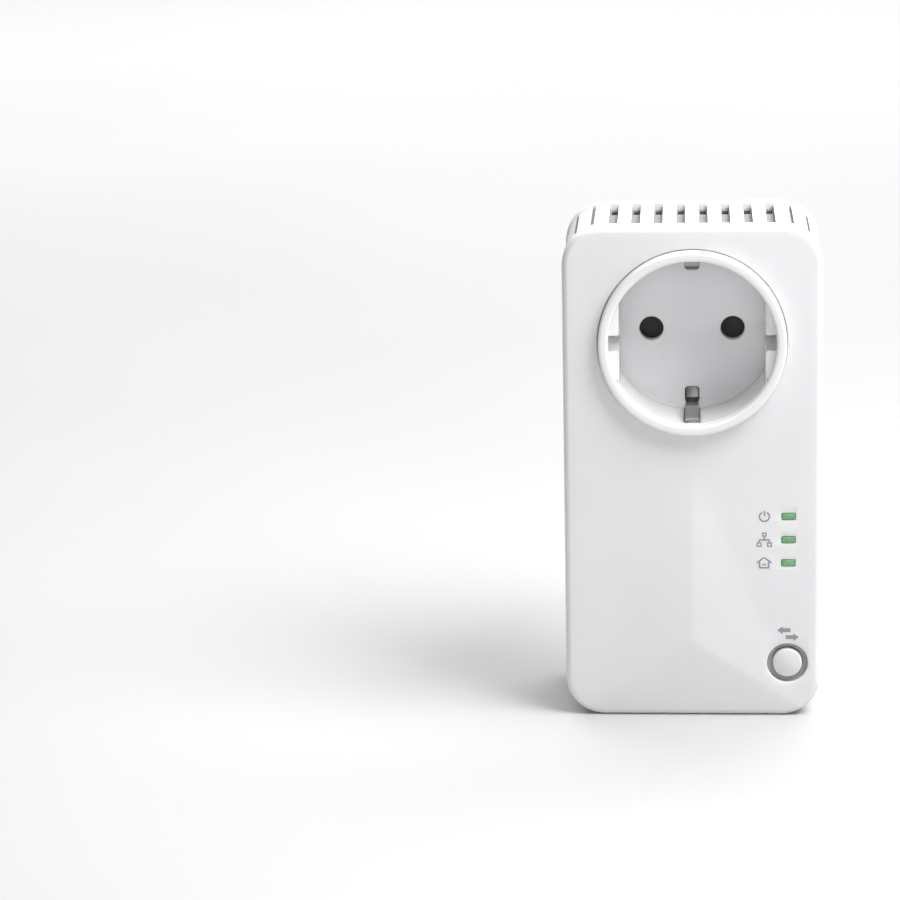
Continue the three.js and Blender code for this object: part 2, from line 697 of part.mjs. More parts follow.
function ledSolid(z) {
  return block([windowX - ledChip.width / 2, windowX + ledChip.width / 2],
    [ledBoardY - gap - ledChip.depth, ledBoardY - gap], [z - ledChip.height / 2, z + ledChip.height / 2]);
}

const ledBoardRight = body.width / 2 - bandInner - gap;
const ledBoardLeft = buttonX - ledBoard.inside;

function ledBoardSolid() {
  const yRange = [ledBoardY, ledBoardY + ledBoard.thickness];
  const zRange = [buttonZ - ledBoard.below, windowZs[0] + ledBoard.above];
  const blank = block([ledBoardLeft, ledBoardRight], yRange, zRange);
  return blank.intersect(prism(outline(bandInner + gap), yRange));
}

function boardLinkSolid() {
  const right = ledBoardRight - link.inset;
  const z0 = buttonZ + link.aboveButton;
  return block([right - link.width, right], [ledBoardY + ledBoard.thickness + gap, boardFrontY - gap],
    [z0, z0 + link.length]);
}

// ---------------------------------------------------------------------------------------------------------
// Network jack
// ---------------------------------------------------------------------------------------------------------

function lanJackSolid() {
  const frontY = jackHoleY[0] + gap;
  const faceZ = platePlaneZ + jack.setback;
  const halfWidth = jack.width / 2 - gap;
  const mouthRearY = jackRearY - jack.roofWall;
  const mouthFrontY = mouthRearY - jack.mouthDepth;
  const latchFrontY = mouthFrontY - jack.latchDepth;
  const housingX = [jack.x - halfWidth, jack.x + halfWidth];
  const housing = block(housingX, [frontY, jackRearY], [faceZ, faceZ + jack.length]);
  const openings = [
    [jack.mouthWidth, mouthFrontY, mouthRearY],
    [jack.latchWidth, latchFrontY, mouthFrontY + weld],
    [jack.notchWidth, latchFrontY - jack.notchDepth, latchFrontY + weld],
  ].map(([width, y0, y1]) => block([jack.x - width / 2, jack.x + width / 2], [y0, y1],
    [faceZ - reach, faceZ + jack.mouthLength]));
  return cut(housing, openings);
}

// Eight spring wires in one comb, rising from the rear wall of the jack's mouth.
function lanContactsSolid() {
  const wallY = jackRearY - jack.roofWall - gap;
  const innerZ = platePlaneZ + jack.setback + jack.mouthLength - gap;
  const rootZ = innerZ - comb.base + comb.bite;
  const tipZ = innerZ - comb.length;
  const baseHalf = (comb.wires * comb.pitch) / 2;
  const baseX = [jack.x - baseHalf, jack.x + baseHalf];
  const base = block(baseX, [wallY - comb.base, wallY], [innerZ - comb.base, innerZ]);
  const wires = Array.from({ length: comb.wires }, (_, i) => {
    const x = jack.x + (i - (comb.wires - 1) / 2) * comb.pitch;
    return bentStrip([
      [wallY - comb.bite, rootZ], [wallY - comb.rise, tipZ],
      [wallY - comb.rise - comb.wire, tipZ], [wallY - comb.bite - comb.wire, rootZ],
    ], [x - comb.wire / 2, x + comb.wire / 2]);
  });
  return join([base, ...wires]);
}

// ---------------------------------------------------------------------------------------------------------
// Main board and what it carries
// ---------------------------------------------------------------------------------------------------------

const boardHalf = body.width / 2 - bandInner - board.sideGap;
const partsY = boardFrontY - gap;
const jackTopZ = platePlaneZ + jack.setback + jack.length;
const upperRowZ = boardTopZ - bulkCapacitor.drop;
const bulkCapacitorX = -boardHalf + bulkCapacitor.inside;
const transformerX = -boardHalf + transformer.inside;
const transformerZ = jackTopZ + transformer.rise;
const outputCapacitorX = -boardHalf + outputCapacitor.inside;
const fuseZ = upperRowZ - lineFilter.height / 2 - gap - fuse.radius;
const chipX = jack.x + chip.besideJack;
const chipZ = jackTopZ + chip.rise;
const couplingZ = jackTopZ - couplingTransformer.drop;
const crystalX = chipX + chip.width / 2 + crystal.besideChip + crystal.width / 2;
const chokeZ = upperRowZ - bulkCapacitor.radius - gap - choke.ringRadius - choke.radius;

function mainBoardSolid() {
  const clear = boss.radius + gap;
  const lowBoss = bossPlaces[2];
  const notch = block([lowBoss.x - clear, boardHalf + reach], [boardFrontY - reach, boardRearY + reach],
    [boardBottomZ - reach, lowBoss.z + clear]);
  return cut(block([-boardHalf, boardHalf], [boardFrontY, boardRearY], [boardBottomZ, boardTopZ]),
    [notch, mirroredX(notch)]);
}

// A block that stands on the front of the main board.
function onBoard(x, z, { width, height, depth }) {
  return block([x - width / 2, x + width / 2], [partsY - depth, partsY], [z - height / 2, z + height / 2]);
}

// A round can that stands on the front of the main board.
function canOnBoard(x, z, { radius, depth }) {
  return rod(radius, [partsY - depth, partsY], x, z);
}

// A round can that lies on the front of the main board, with its axis along X.
function lyingCan(x, z, { radius, length }) {
  const geometry = new THREE.CylinderGeometry(radius, radius, length, smallSides);
  geometry.rotateZ(Math.PI / 2);
  geometry.translate(x, partsY - radius, z);
  return solidOf(geometry);
}

// Two E halves closed into one frame with a middle leg along Y.
function transformerCoreSolid() {
  const { width, height, depth, leg, flangeOut, halfGap } = transformer;
  const x = transformerX;
  const coreZ = [transformerZ - height / 2 + flangeOut, transformerZ + height / 2 - flangeOut];
  const windowX = [x - width / 2 + leg, x + width / 2 - leg];
  const windowY = [partsY - depth + leg, partsY - leg];
  const window = block(windowX, windowY, [transformerZ - height, transformerZ + height]);
  const post = block([x - leg / 2, x + leg / 2], [partsY - depth + halfGap, partsY - halfGap], coreZ);
  const frame = block([x - width / 2, x + width / 2], [partsY - depth, partsY], coreZ);
  return frame.subtract(window).add(post);
}

function transformerBobbinSolid() {
  const { width, height, depth, leg, flangeOut, windowGap } = transformer;
  const x = transformerX;
  const outerX = width / 2 - leg - windowGap;
  const y0 = partsY - depth + leg + windowGap;
  const y1 = partsY - leg - windowGap;
  const coilZ = [transformerZ - height / 2, transformerZ + height / 2];
  const coil = block([x - outerX, x + outerX], [y0, y1], coilZ);
  const boreZ = height / 2 - flangeOut + windowGap;
  const bore = block([x - leg / 2 - windowGap, x + leg / 2 + windowGap], [y0 - reach, y1 + reach],
    [transformerZ - boreZ, transformerZ + boreZ]);
  return coil.subtract(bore);
}

// A wound ring that stands on its edge between the transformer and the chip.
function chokeSolid() {
  const { ringRadius, radius } = choke;
  const geometry = new THREE.TorusGeometry(ringRadius, radius, 8, smallSides);
  geometry.rotateY(Math.PI / 2);
  geometry.translate(chipX - chip.width / 2 - gap - radius, partsY - ringRadius - radius, chokeZ);
  return solidOf(geometry);
}

function varistorSolid() {
  const { radius, thickness, inside } = varistor;
  const geometry = new THREE.CylinderGeometry(radius, radius, thickness, smallSides);
  geometry.rotateZ(Math.PI / 2);
  geometry.translate(ledBoardLeft + inside, partsY - radius, windowZs[1]);
  return solidOf(geometry);
}

function heatSinkSolid() {
  const baseY = partsY - chip.thickness - gap;
  const half = chip.width / 2;
  const base = block([chipX - half, chipX + half], [baseY - chip.base, baseY], [chipZ - half, chipZ + half]);
  const step = (chip.width - chip.fin) / (chip.fins - 1);
  const fins = Array.from({ length: chip.fins }, (_, i) => {
    const x = chipX - half + i * step;
    return block([x, x + chip.fin], [baseY - chip.base - chip.finHeight, baseY - chip.base + weld],
      [chipZ - half, chipZ + half]);
  });
  return join([base, ...fins]);
}

function insulatingSheetSolid() {
  const half = Math.min(cornerX + bossShift - boss.radius - 2 * gap, boardHalf);
  const y0 = boardRearY + 2 * gap + earth.strap;
  return block([-half, half], [y0, y0 + sheet.thickness],
    [boardBottomZ + sheet.aboveBottom, boardTopZ - sheet.belowTop]);
}

function screwSolid({ x, z }) {
  const headY = backY - screw.sunk + gap / 2;
  const { headRadius, head, headEdge, shankRadius, shank, slotWidth, slotDepth } = screw;
  const bodyOfScrew = turned([
    [0, headY - shank], [shankRadius, headY - shank], [shankRadius, headY], [headRadius, headY],
    [headRadius, headY + head - headEdge], [headRadius - headEdge, headY + head], [0, headY + head],
  ], smallSides);
  const arm = headRadius - screw.slotInset;
  const across = [headY + head - slotDepth, headY + head + reach];
  return cut(bodyOfScrew, [
    block([-arm, arm], across, [-slotWidth / 2, slotWidth / 2]),
    block([-slotWidth / 2, slotWidth / 2], across, [-arm, arm]),
  ]).translate([x, 0, z]);
}

// ---------------------------------------------------------------------------------------------------------
// Materials
// ---------------------------------------------------------------------------------------------------------

function material(color, roughness, metalness = 0) {
  return new THREE.MeshStandardMaterial({ color, roughness, metalness });
}

const whiteShell = material(0xdcdcde, 0.42);
const glossWhite = material(0xececee, 0.25);
const greyWhite = material(0xd2d3d5, 0.4);
const darkPlastic = material(0x2b2c2e, 0.5);
const greenLens = material(0x59a066, 0.3);
const yellowPlastic = material(0xe6c02f, 0.45);
const nickel = material(0xb9babc, 0.25, 1);
const springSteel = material(0x9b9ca0, 0.35, 1);
const brass = material(0xc4a25a, 0.3, 1);
const gold = material(0xd9b44a, 0.25, 1);
const circuitBoard = material(0x2c6a3f, 0.55);
const ferrite = material(0x3a3a3d, 0.7);
const yellowTape = material(0xe2c65c, 0.5);
const canAluminium = material(0x8f9196, 0.35, 0.8);
const blackSleeve = material(0x232427, 0.45);
const greyBox = material(0x8d8f92, 0.5);
const blueDisc = material(0x2f5fa8, 0.45);
const clearFilm = material(0xe9e4c9, 0.4);

// ---------------------------------------------------------------------------------------------------------
// Assembly
// ---------------------------------------------------------------------------------------------------------

function geometryOf(solid) {
  const mesh = solid.getMesh();
  const geometry = new THREE.BufferGeometry();
  geometry.setAttribute('position', new THREE.BufferAttribute(mesh.vertProperties, 3));
  geometry.setIndex(new THREE.BufferAttribute(mesh.triVerts, 1));
  geometry.computeVertexNormals();
  return geometry;
}

function piece(name, solid, look) {
  const mesh = new THREE.Mesh(geometryOf(solid), look);
  mesh.name = name;
  return mesh;
}

function group(pieces) {
  const holder = new THREE.Group();
  holder.add(...pieces);
  return holder;
}

const shells = group([
  piece('front_cover', frontCoverSolid(), whiteShell),
  piece('vent_frame', ventFrameSolid(), whiteShell),
  piece('port_panel', portPanelSolid(), whiteShell),
  piece('rear_cover', rearCoverSolid(), whiteShell),
  ...bossPlaces.map((place, i) => piece(`housing_screw_${i + 1}`, screwSolid(place), springSteel)),
]);

const socketGroup = group([
  piece('socket_insert', socketInsertSolid(), glossWhite),
  piece('socket_shutter', shutterSolid(), darkPlastic),
  piece('shutter_spring', shutterSpringSolid(), springSteel),
  piece('contact_carrier', contactCarrierSolid(), greyWhite),
  piece('live_sleeve', sleeveSolid(pinXs[0]), brass),
  piece('neutral_sleeve', sleeveSolid(pinXs[1]), brass),
  piece('earth_clip_upper', clipFingerSolid(1), nickel),
  piece('earth_clip_lower', clipFingerSolid(-1), nickel),
  piece('earth_bracket', earthBracketSolid(), nickel),
]);

const plugGroup = group([
  piece('live_pin', plugPinSolid(pinXs[0]), nickel),
  piece('neutral_pin', plugPinSolid(pinXs[1]), nickel),
  piece('live_busbar', busbarSolid(pinXs[0]), brass),
  piece('neutral_busbar', busbarSolid(pinXs[1]), brass),
  piece('plug_earth_upper', noseContactSolid(1), nickel),
  piece('plug_earth_lower', noseContactSolid(-1), nickel),
]);

const lightNames = ['power', 'network', 'link'];
const controls = group([
  piece('pair_button', pairButtonSolid(), greyWhite),
  piece('switch_plunger', switchPlungerSolid(), darkPlastic),
  piece('tact_switch', tactSwitchSolid(), darkPlastic),
  piece('led_board', ledBoardSolid(), circuitBoard),
  piece('board_link', boardLinkSolid(), darkPlastic),
  ...lightNames.map((name, i) => piece(`light_pipe_${name}`, lightPipeSolid(windowZs[i]), greenLens)),
  ...lightNames.map((name, i) => piece(`led_${name}`, ledSolid(windowZs[i]), clearFilm)),
]);

const chipBody = { width: chip.width, height: chip.width, depth: chip.thickness };
const electronics = group([
  piece('lan_jack', lanJackSolid(), yellowPlastic),
  piece('lan_contacts', lanContactsSolid(), gold),
  piece('main_board', mainBoardSolid(), circuitBoard),
  piece('lan_transformer', onBoard(jack.x, jackTopZ + lanTransformer.rise, lanTransformer), darkPlastic),
  piece('modem_chip', onBoard(chipX, chipZ, chipBody), darkPlastic),
  piece('heat_sink', heatSinkSolid(), canAluminium),
  piece('coupling_transformer', onBoard(chipX, couplingZ, couplingTransformer), ferrite),
  piece('transformer_core', transformerCoreSolid(), ferrite),
  piece('transformer_bobbin', transformerBobbinSolid(), yellowTape),
  piece('bulk_capacitor', lyingCan(bulkCapacitorX, upperRowZ, bulkCapacitor), blackSleeve),
  piece('x_capacitor', onBoard(lineFilter.x, upperRowZ, lineFilter), greyBox),
  piece('common_mode_choke', chokeSolid(), ferrite),
  piece('line_fuse', lyingCan(lineFilter.x, fuseZ, fuse), clearFilm),
  piece('varistor', varistorSolid(), blueDisc),
  ...outputCapacitor.rises.map((rise, i) => piece(`output_capacitor_${i + 1}`,
    canOnBoard(outputCapacitorX, jackTopZ + rise, outputCapacitor), blackSleeve)),
  piece('crystal', onBoard(crystalX, jackTopZ + crystal.rise, crystal), canAluminium),
  piece('insulating_sheet', insulatingSheetSolid(), clearFilm),
]);

const adapter = group([shells, socketGroup, plugGroup, controls, electronics]);

export default adapter;
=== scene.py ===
"""Powerline adapter with a pass-through socket: the visual model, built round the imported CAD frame.

All shapes are worked out in millimetres, in the CAD's own frame: X to the right, Y into the wall, Z up.
"""
from collections import namedtuple
import json
import math
import bmesh
import bpy
from mathutils import Matrix, Vector
from mathutils.geometry import delaunay_2d_cdt


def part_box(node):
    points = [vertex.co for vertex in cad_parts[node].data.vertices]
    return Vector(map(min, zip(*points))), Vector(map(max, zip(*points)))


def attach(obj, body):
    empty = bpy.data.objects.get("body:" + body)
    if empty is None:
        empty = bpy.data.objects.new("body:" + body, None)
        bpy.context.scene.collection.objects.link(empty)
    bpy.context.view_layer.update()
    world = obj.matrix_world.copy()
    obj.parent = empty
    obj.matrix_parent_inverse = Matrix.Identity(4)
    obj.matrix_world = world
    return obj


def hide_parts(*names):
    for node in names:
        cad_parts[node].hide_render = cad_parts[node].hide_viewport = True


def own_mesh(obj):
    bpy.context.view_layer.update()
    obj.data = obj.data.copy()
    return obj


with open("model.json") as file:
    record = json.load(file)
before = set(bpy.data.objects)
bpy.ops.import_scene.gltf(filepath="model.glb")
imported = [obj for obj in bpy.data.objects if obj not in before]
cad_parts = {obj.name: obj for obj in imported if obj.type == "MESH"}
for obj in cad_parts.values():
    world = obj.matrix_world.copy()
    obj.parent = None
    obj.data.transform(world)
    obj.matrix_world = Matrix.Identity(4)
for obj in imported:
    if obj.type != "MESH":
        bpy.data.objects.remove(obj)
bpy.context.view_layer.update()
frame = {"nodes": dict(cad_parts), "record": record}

MM = 0.001
HOUSING = "housing"


def box_mm(node):
    """The lowest and highest corner of a CAD node, in millimetres."""
    low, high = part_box(node)
    return Vector(low) / MM, Vector(high) / MM


def middle_of(node):
    """The (x, z) middle of a CAD node."""
    low, high = box_mm(node)
    return (low.x + high.x) / 2, (low.z + high.z) / 2


# ---- Sizes: places from the CAD nodes, and the small details that only the eye needs ----

cover_low, cover_high = box_mm("front_cover")
vent_low = box_mm("vent_frame")[0]
rear_high = box_mm("rear_cover")[1]
insert_low, insert_high = box_mm("socket_insert")
jack_low, jack_high = box_mm("lan_jack")
button_low, button_high = box_mm("pair_button")

GAP = 0.3
CROWN = 1.4  # how far the crown's apex stands proud of the flat face
NOSE_LENGTH = 19.0
LIP = 4.4  # depth of the front cover's side
REAR_LIP = 3.4
WALL = 2.0
CORNER = 9.2
BAND_INSET = 0.4
HALF_W = cover_high.x
TOP = cover_high.z
BOTTOM = cover_low.z
MID_Z = (TOP + BOTTOM) / 2
HALF_H = (TOP - BOTTOM) / 2
FACE_Y = cover_low.y + CROWN
RIM_Y = FACE_Y + LIP
BACK_Y = rear_high.y - NOSE_LENGTH
REAR_RIM_Y = BACK_Y - REAR_LIP
BAND_Y = (vent_low.y, REAR_RIM_Y - GAP)
RING_Y = insert_low.y
RING_R = insert_high.x
RECESS_R = RING_R - 2.3
RECESS = 17.5
FLOOR_Y = RING_Y + RECESS
RING_GAP = 0.15  # the visible gap round the ring
GUIDE_X = 16.85
GUIDE_GROOVE = 2.2  # half the width of the groove in each guide block
GUIDE_SETBACK = 2.0
PIN_X = abs(middle_of("live_pin")[0])
PIN_SIDES = (-PIN_X, PIN_X)
HOLE_R = 2.8
NOSE_R = 18.5
PIN_R = 2.4
PLATE = 2.6  # thickness of the rear cover's plate
END_WALL = 3.0  # thickness of the nose's end
REAR_EDGE = 1.4
NOSE_EDGE = 0.8
RING_EDGE = 0.7
FLANGE = 0.8  # thickness of the flanges behind the face
FLOOR_PLATE = 1.2  # thickness of the grey floor plate
WINDOW_HALF = (1.55, 0.775)
WINDOW_GAP = 0.12
SIDE_SLOTS = 19
SHORT_SLOTS = 8  # slots along the top wall and the bottom wall
BUTTON_X, BUTTON_Z = middle_of("pair_button")
BUTTON_R = 3.5
WELL_R = 4.75
WELL_DEPTH = 1.2
PITCH = 5.19
SLOT_HALF = 0.75
CHANNEL_HALF = 1.0
CHANNEL_DEPTH = 0.8
TOP_CHANNEL_DEPTH = 1.4
TOP_SLOT_START = 5.4  # from the band's rear edge to where a top channel opens
ROUND = 96  # sides of the large circles, then of the middling and small ones
MID_ROUND = 64
SMALL_ROUND = 48


# ---- Mesh builder: closed loops of points, strips between them, and flat or crowned caps with holes ----

def rounded_rect(offset=0.0, half_w=None, half_h=None, corner=None, mid=None, steps=16):
    """Points (x, z) of the body's outline, moved in by offset."""
    half_w = (HALF_W if half_w is None else half_w) - offset
    half_h = (HALF_H if half_h is None else half_h) - offset
    radius = max((CORNER if corner is None else corner) - offset, 0.05)
    x0, z0 = (0.0, MID_Z) if mid is None else mid
    points = []
    for sx, sz, start in ((1, 1, 0), (-1, 1, 90), (-1, -1, 180), (1, -1, 270)):
        for i in range(steps + 1):
            a = math.radians(start + 90 * i / steps)
            points.append((x0 + sx * (half_w - radius) + radius * math.cos(a),
                           z0 + sz * (half_h - radius) + radius * math.sin(a)))
    return points


def circle(radius, x=0.0, z=0.0, sides=ROUND):
    """Points (x, z) round a circle."""
    return [(x + radius * math.cos(2 * math.pi * i / sides), z + radius * math.sin(2 * math.pi * i / sides))
            for i in range(sides)]


def inside(point, polygon):
    """True if the point lies inside the polygon."""
    x, z = point
    odd = False
    for (x1, z1), (x2, z2) in zip(polygon, polygon[1:] + polygon[:1]):
        if (z1 > z) != (z2 > z) and x < (x2 - x1) * (z - z1) / (z2 - z1) + x1:
            odd = not odd
    return odd


def grid(half_w, z_low, z_high, step):
    """Points of a square grid inside a box about x = 0."""
    columns = int(2 * half_w / step)
    rows = int((z_high - z_low) / step)
    return [(-half_w + (i + 0.5) * 2 * half_w / columns, z_low + (j + 0.5) * (z_high - z_low) / rows)
            for i in range(columns) for j in range(rows)]


def placed(name, data):
    """A new object in the scene."""
    thing = bpy.data.objects.new(name, data)
    bpy.context.scene.collection.objects.link(thing)
    return thing


class Build:
    """One piece's mesh, in millimetres until it is finished."""

    def __init__(self):
        self.bm = bmesh.new()

    def loop(self, points, y):
        level = y if callable(y) else (lambda x, z: y)
        return [self.bm.verts.new((x, level(x, z), z)) for x, z in points]

    def loop3(self, points):
        return [self.bm.verts.new(p) for p in points]

    def rings(self, outline_at, steps):
        """One loop for each (size, y) step, where outline_at(size) gives its points."""
        return [self.loop(outline_at(size), y) for size, y in steps]

    def strip(self, first, second):
        for i in range(len(first)):
            j = (i + 1) % len(first)
            self.bm.faces.new((first[i], first[j], second[j], second[i]))

    def loft(self, loops):
        for first, second in zip(loops, loops[1:]):
            self.strip(first, second)
        return loops[-1]

    def fan(self, loop):
        """Closes a small loop with one face."""
        self.bm.faces.new(loop)

    def cap(self, loops, spots=(), height=None):
        """Triangles between an outer loop and holes, in the XZ plane, with extra points at spots."""
        outlines = [[(v.co.x, v.co.z) for v in loop] for loop in loops]
        verts = [v for loop in loops for v in loop]
        flat = [Vector(p) for outline in outlines for p in outline]
        edges = []
        for outline in outlines:
            start = len(edges)
            edges += [(start + i, start + (i + 1) % len(outline)) for i in range(len(outline))]
        for x, z in spots:
            if inside((x, z), outlines[0]) and not any(inside((x, z), hole) for hole in outlines[1:]):
                flat.append(Vector((x, z)))
                verts.append(self.bm.verts.new((x, height(x, z), z)))
        places, _, faces, sources, _, _ = delaunay_2d_cdt(flat, edges, [], 1, 1e-7)
        for face in faces:
            middle = sum((places[i] for i in face), Vector((0, 0))) / len(face)
            if not inside(middle, outlines[0]) or any(inside(middle, hole) for hole in outlines[1:]):
                continue
            corners = [verts[sources[i][0]] for i in face]
            if len(set(corners)) == len(corners):
                self.bm.faces.new(corners)

    def finish(self, name, look, body=HOUSING, merge=0.002, sharp=32.0, bevel=0.0, clean=False,
               painted_shade_look=None):
        """Joins, scales and places the mesh as a piece that rides on a body."""
        bmesh.ops.remove_doubles(self.bm, verts=self.bm.verts, dist=merge)
        if clean:
            bmesh.ops.dissolve_limit(self.bm, angle_limit=math.radians(1.0), verts=self.bm.verts,
                                     edges=self.bm.edges)
        bmesh.ops.recalc_face_normals(self.bm, faces=self.bm.faces)
        bmesh.ops.scale(self.bm, vec=(MM, MM, MM), verts=self.bm.verts)
        mesh = bpy.data.meshes.new(name)
        self.bm.to_mesh(mesh)
        self.bm.free()
        piece = placed(name, mesh)
        mesh.materials.append(look)
        # An optional second material holds painted shade for the faces that are marked as sunk.
        if painted_shade_look:
            mesh.materials.append(painted_shade_look)
        if bevel:
            soften = piece.modifiers.new("soft_edges", "BEVEL")
            soften.width = bevel * MM
            soften.segments = 2
            soften.limit_method = "ANGLE"
            soften.angle_limit = math.radians(sharp)
            soften.harden_normals = True
        mesh.shade_smooth()
        if not bevel:
            mesh.set_sharp_from_angle(angle=math.radians(sharp))
        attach(piece, body)
        return piece


def edge_round(radius, steps):
    """(inset, sink) pairs that turn from a flat face over into a side wall."""
    angles = [math.radians(90 - 90 * i / steps) for i in range(steps + 1)]
    return [(radius - radius * math.cos(a), radius - radius * math.sin(a)) for a in angles]


def rear_edge(radius, steps, y):
    """(inset, y) steps over an edge that faces the wall, ending in the flat face at y."""
    return [(inset, y - sink) for inset, sink in edge_round(radius, steps)[::-1]]


def turned(build, profile, x, z, sides):
    """Turns (radius, y) points about an axis along Y, and closes both ends."""
    loops = build.rings(lambda r: circle(r, x, z, sides), profile)
    build.loft(loops)
    build.fan(loops[0])
    build.fan(loops[-1][::-1])


def bored(build, outline_at, steps):
    """A wall or a hole through rings of (size, y). Returns its first and last loop."""
    loops = build.rings(outline_at, steps)
    build.loft(loops)
    return loops[0], loops[-1]


def soft_wall(build, outline_at, radius, face, end):
    """A wall that starts at a face with a rounded edge. Returns its first and last loop."""
    edge = [(inset, face + sink) for inset, sink in edge_round(radius, 3)]
    return bored(build, outline_at, edge + [(0, end)])


def box(build, x, y, z):
    """A block between two values of x, of y and of z."""
    outline = [(x[0], z[0]), (x[1], z[0]), (x[1], z[1]), (x[0], z[1])]
    ends = [build.loop(outline, level) for level in y]
    build.loft(ends)
    for end in ends:
        build.cap([end])


def from_cad(node):
    """A builder that holds the CAD node's own shape."""
    build = Build()
    build.bm.from_mesh(frame["nodes"][node].data)
    bmesh.ops.transform(build.bm, matrix=Matrix.Scale(1 / MM, 4), verts=build.bm.verts)
    return build


# ---- Materials ----

def fill(node, **values):
    """Sets a node's inputs by name, where an underscore stands for a space."""
    for key, value in values.items():
        node.inputs[key.replace("_", " ")].default_value = value


class Look:
    """A node tree with one Principled shader, and short ways to add to it."""

    def __init__(self, name):
        self.material = bpy.data.materials.new(name)
        self.material.use_nodes = True
        self.tree = self.material.node_tree
        self.shader = self.tree.nodes["Principled BSDF"]
        self.place = self.tree.nodes.new("ShaderNodeTexCoord").outputs["Object"]

    def node(self, kind, **settings):
        node = self.tree.nodes.new(kind)
        for key, value in settings.items():
            setattr(node, key, value)
        return node

    def link(self, source, target):
        self.tree.links.new(source, target)

    def stretched(self, scale):
        mapping = self.node("ShaderNodeMapping")
        fill(mapping, Scale=scale)
        self.link(self.place, mapping.inputs["Vector"])
        return mapping.outputs["Vector"]

    def noise(self, size, detail=3.0, rough=0.5, stretch=(1, 1, 1)):
        """Noise whose spots are about size millimetres across."""
        node = self.node("ShaderNodeTexNoise")
        fill(node, Scale=1.0, Detail=detail, Roughness=rough)
        self.link(self.stretched(tuple(s / (size * MM) for s in stretch)), node.inputs["Vector"])
        return node.outputs["Fac"]

    def spread(self, source, low, high, sharp=(0.3, 0.7)):
        node = self.node("ShaderNodeMapRange")
        fill(node, From_Min=sharp[0], From_Max=sharp[1], To_Min=low, To_Max=high)
        self.link(source, node.inputs["Value"])
        return node.outputs["Result"]

    def mix(self, factor, first, second):
        """Mixes two colours. Sockets 6 and 7 are the Mix node's colours, and output 2 is its result."""
        node = self.node("ShaderNodeMix", data_type="RGBA")
        self.link(factor, node.inputs["Factor"])
        for value, slot in ((first, 6), (second, 7)):
            if hasattr(value, "node"):
                self.link(value, node.inputs[slot])
            else:
                node.inputs[slot].default_value = (*value, 1)
        return node.outputs[2]

    def bump(self, *layers):
        """Adds bump layers, each (height, depth in millimetres)."""
        normal = None
        for height, depth in layers:
            node = self.node("ShaderNodeBump")
            fill(node, Strength=1.0, Distance=depth * MM)
            self.link(height, node.inputs["Height"])
            if normal is not None:
                self.link(normal, node.inputs["Normal"])
            normal = node.outputs["Normal"]
        self.link(normal, self.shader.inputs["Normal"])

    def base(self, colour):
        self.link(colour, self.shader.inputs["Base Color"])

    def roughness(self, value):
        self.link(value, self.shader.inputs["Roughness"])

    def set(self, **values):
        fill(self.shader, **values)


def shade(colour, factor):
    return tuple(min(1.0, c * factor) for c in colour)


def plastic(name, colour, rough, grain=0.35, grain_depth=0.006, cloud=0.02, coat=0.0, subsurface=0.0):
    """Moulded plastic: spark-eroded grain, slow colour drift, faint handling marks and dust in the grain."""
    look = Look(name)
    drift = look.spread(look.noise(26, 2), 0, 1)
    specks = look.spread(look.noise(0.9, 2, 0.6), 0, 1, (0.66, 0.78))
    tone = look.mix(drift, shade(colour, 1 - cloud), shade(colour, 1 + cloud))
    look.base(look.mix(look.spread(specks, 0, 0.25, (0, 1)), tone, shade(colour, 0.93)))
    rub = look.noise(9, 4, 0.65, (1, 1, 2.5))
    look.roughness(look.spread(rub, rough - 0.05, rough + 0.07))
    look.bump((look.noise(grain, 2, 0.6), grain_depth), (look.noise(14, 2), 0.02))
    look.set(Coat_Weight=coat, Coat_Roughness=0.12, Subsurface_Weight=subsurface, Subsurface_Scale=0.6 * MM)
    if subsurface:
        look.set(Subsurface_Radius=(1.0, 0.95, 0.9))
    return look.material


def metal(name, colour, rough, stretch=(1, 1, 1)):
    """Plated or drawn metal: fine drawing marks, cloudy tarnish and small scratches."""
    look = Look(name)
    tarnish = look.spread(look.noise(5, 3), 0, 1)
    scratches = look.spread(look.noise(0.5, 3, 0.7, stretch), 0, 1, (0.6, 0.72))
    tone = look.mix(tarnish, shade(colour, 0.88), colour)
    look.base(look.mix(look.spread(scratches, 0, 0.5, (0, 1)), tone, shade(colour, 0.6)))
    look.roughness(look.spread(look.noise(2.5, 3, 0.6, stretch), rough - 0.06, rough + 0.12))
    look.bump((look.noise(0.3, 2, 0.6, stretch), 0.008))
    look.set(Metallic=1.0)
    return look.material


def lens(name, colour, glow, strength):
    """A light pipe's lit end: tinted clear plastic over a lamp, with small cells of lighter and darker tone."""
    look = Look(name)
    cells = look.spread(look.noise(0.8, 2), 0, 1)
    look.base(look.mix(cells, shade(colour, 0.85), shade(colour, 1.1)))
    look.roughness(look.spread(look.noise(1.5, 2), 0.18, 0.3))
    look.link(look.mix(cells, shade(glow, 0.75), glow), look.shader.inputs["Emission Color"])
    look.bump((look.noise(0.4, 2), 0.004))
    look.set(Emission_Strength=strength, Coat_Weight=0.3, Coat_Roughness=0.1)
    return look.material


def laminate(name, colour, pattern):
    """Circuit board: solder mask over faint copper tracks and the glass weave."""
    look = Look(name)
    bricks = look.node("ShaderNodeTexBrick")
    fill(bricks, Scale=1.0, Mortar_Size=0.12, Brick_Width=2.6, Row_Height=0.9)
    look.link(look.stretched((1 / MM, 1 / MM, 1 / MM)), bricks.inputs["Vector"])
    tracks = look.spread(bricks.outputs["Fac"], 0, 1, (0, 1))
    look.base(look.mix(tracks, colour, pattern))
    look.roughness(look.spread(look.noise(3, 2), 0.32, 0.5))
    look.bump((tracks, 0.03), (look.noise(0.5, 1), 0.01))
    return look.material


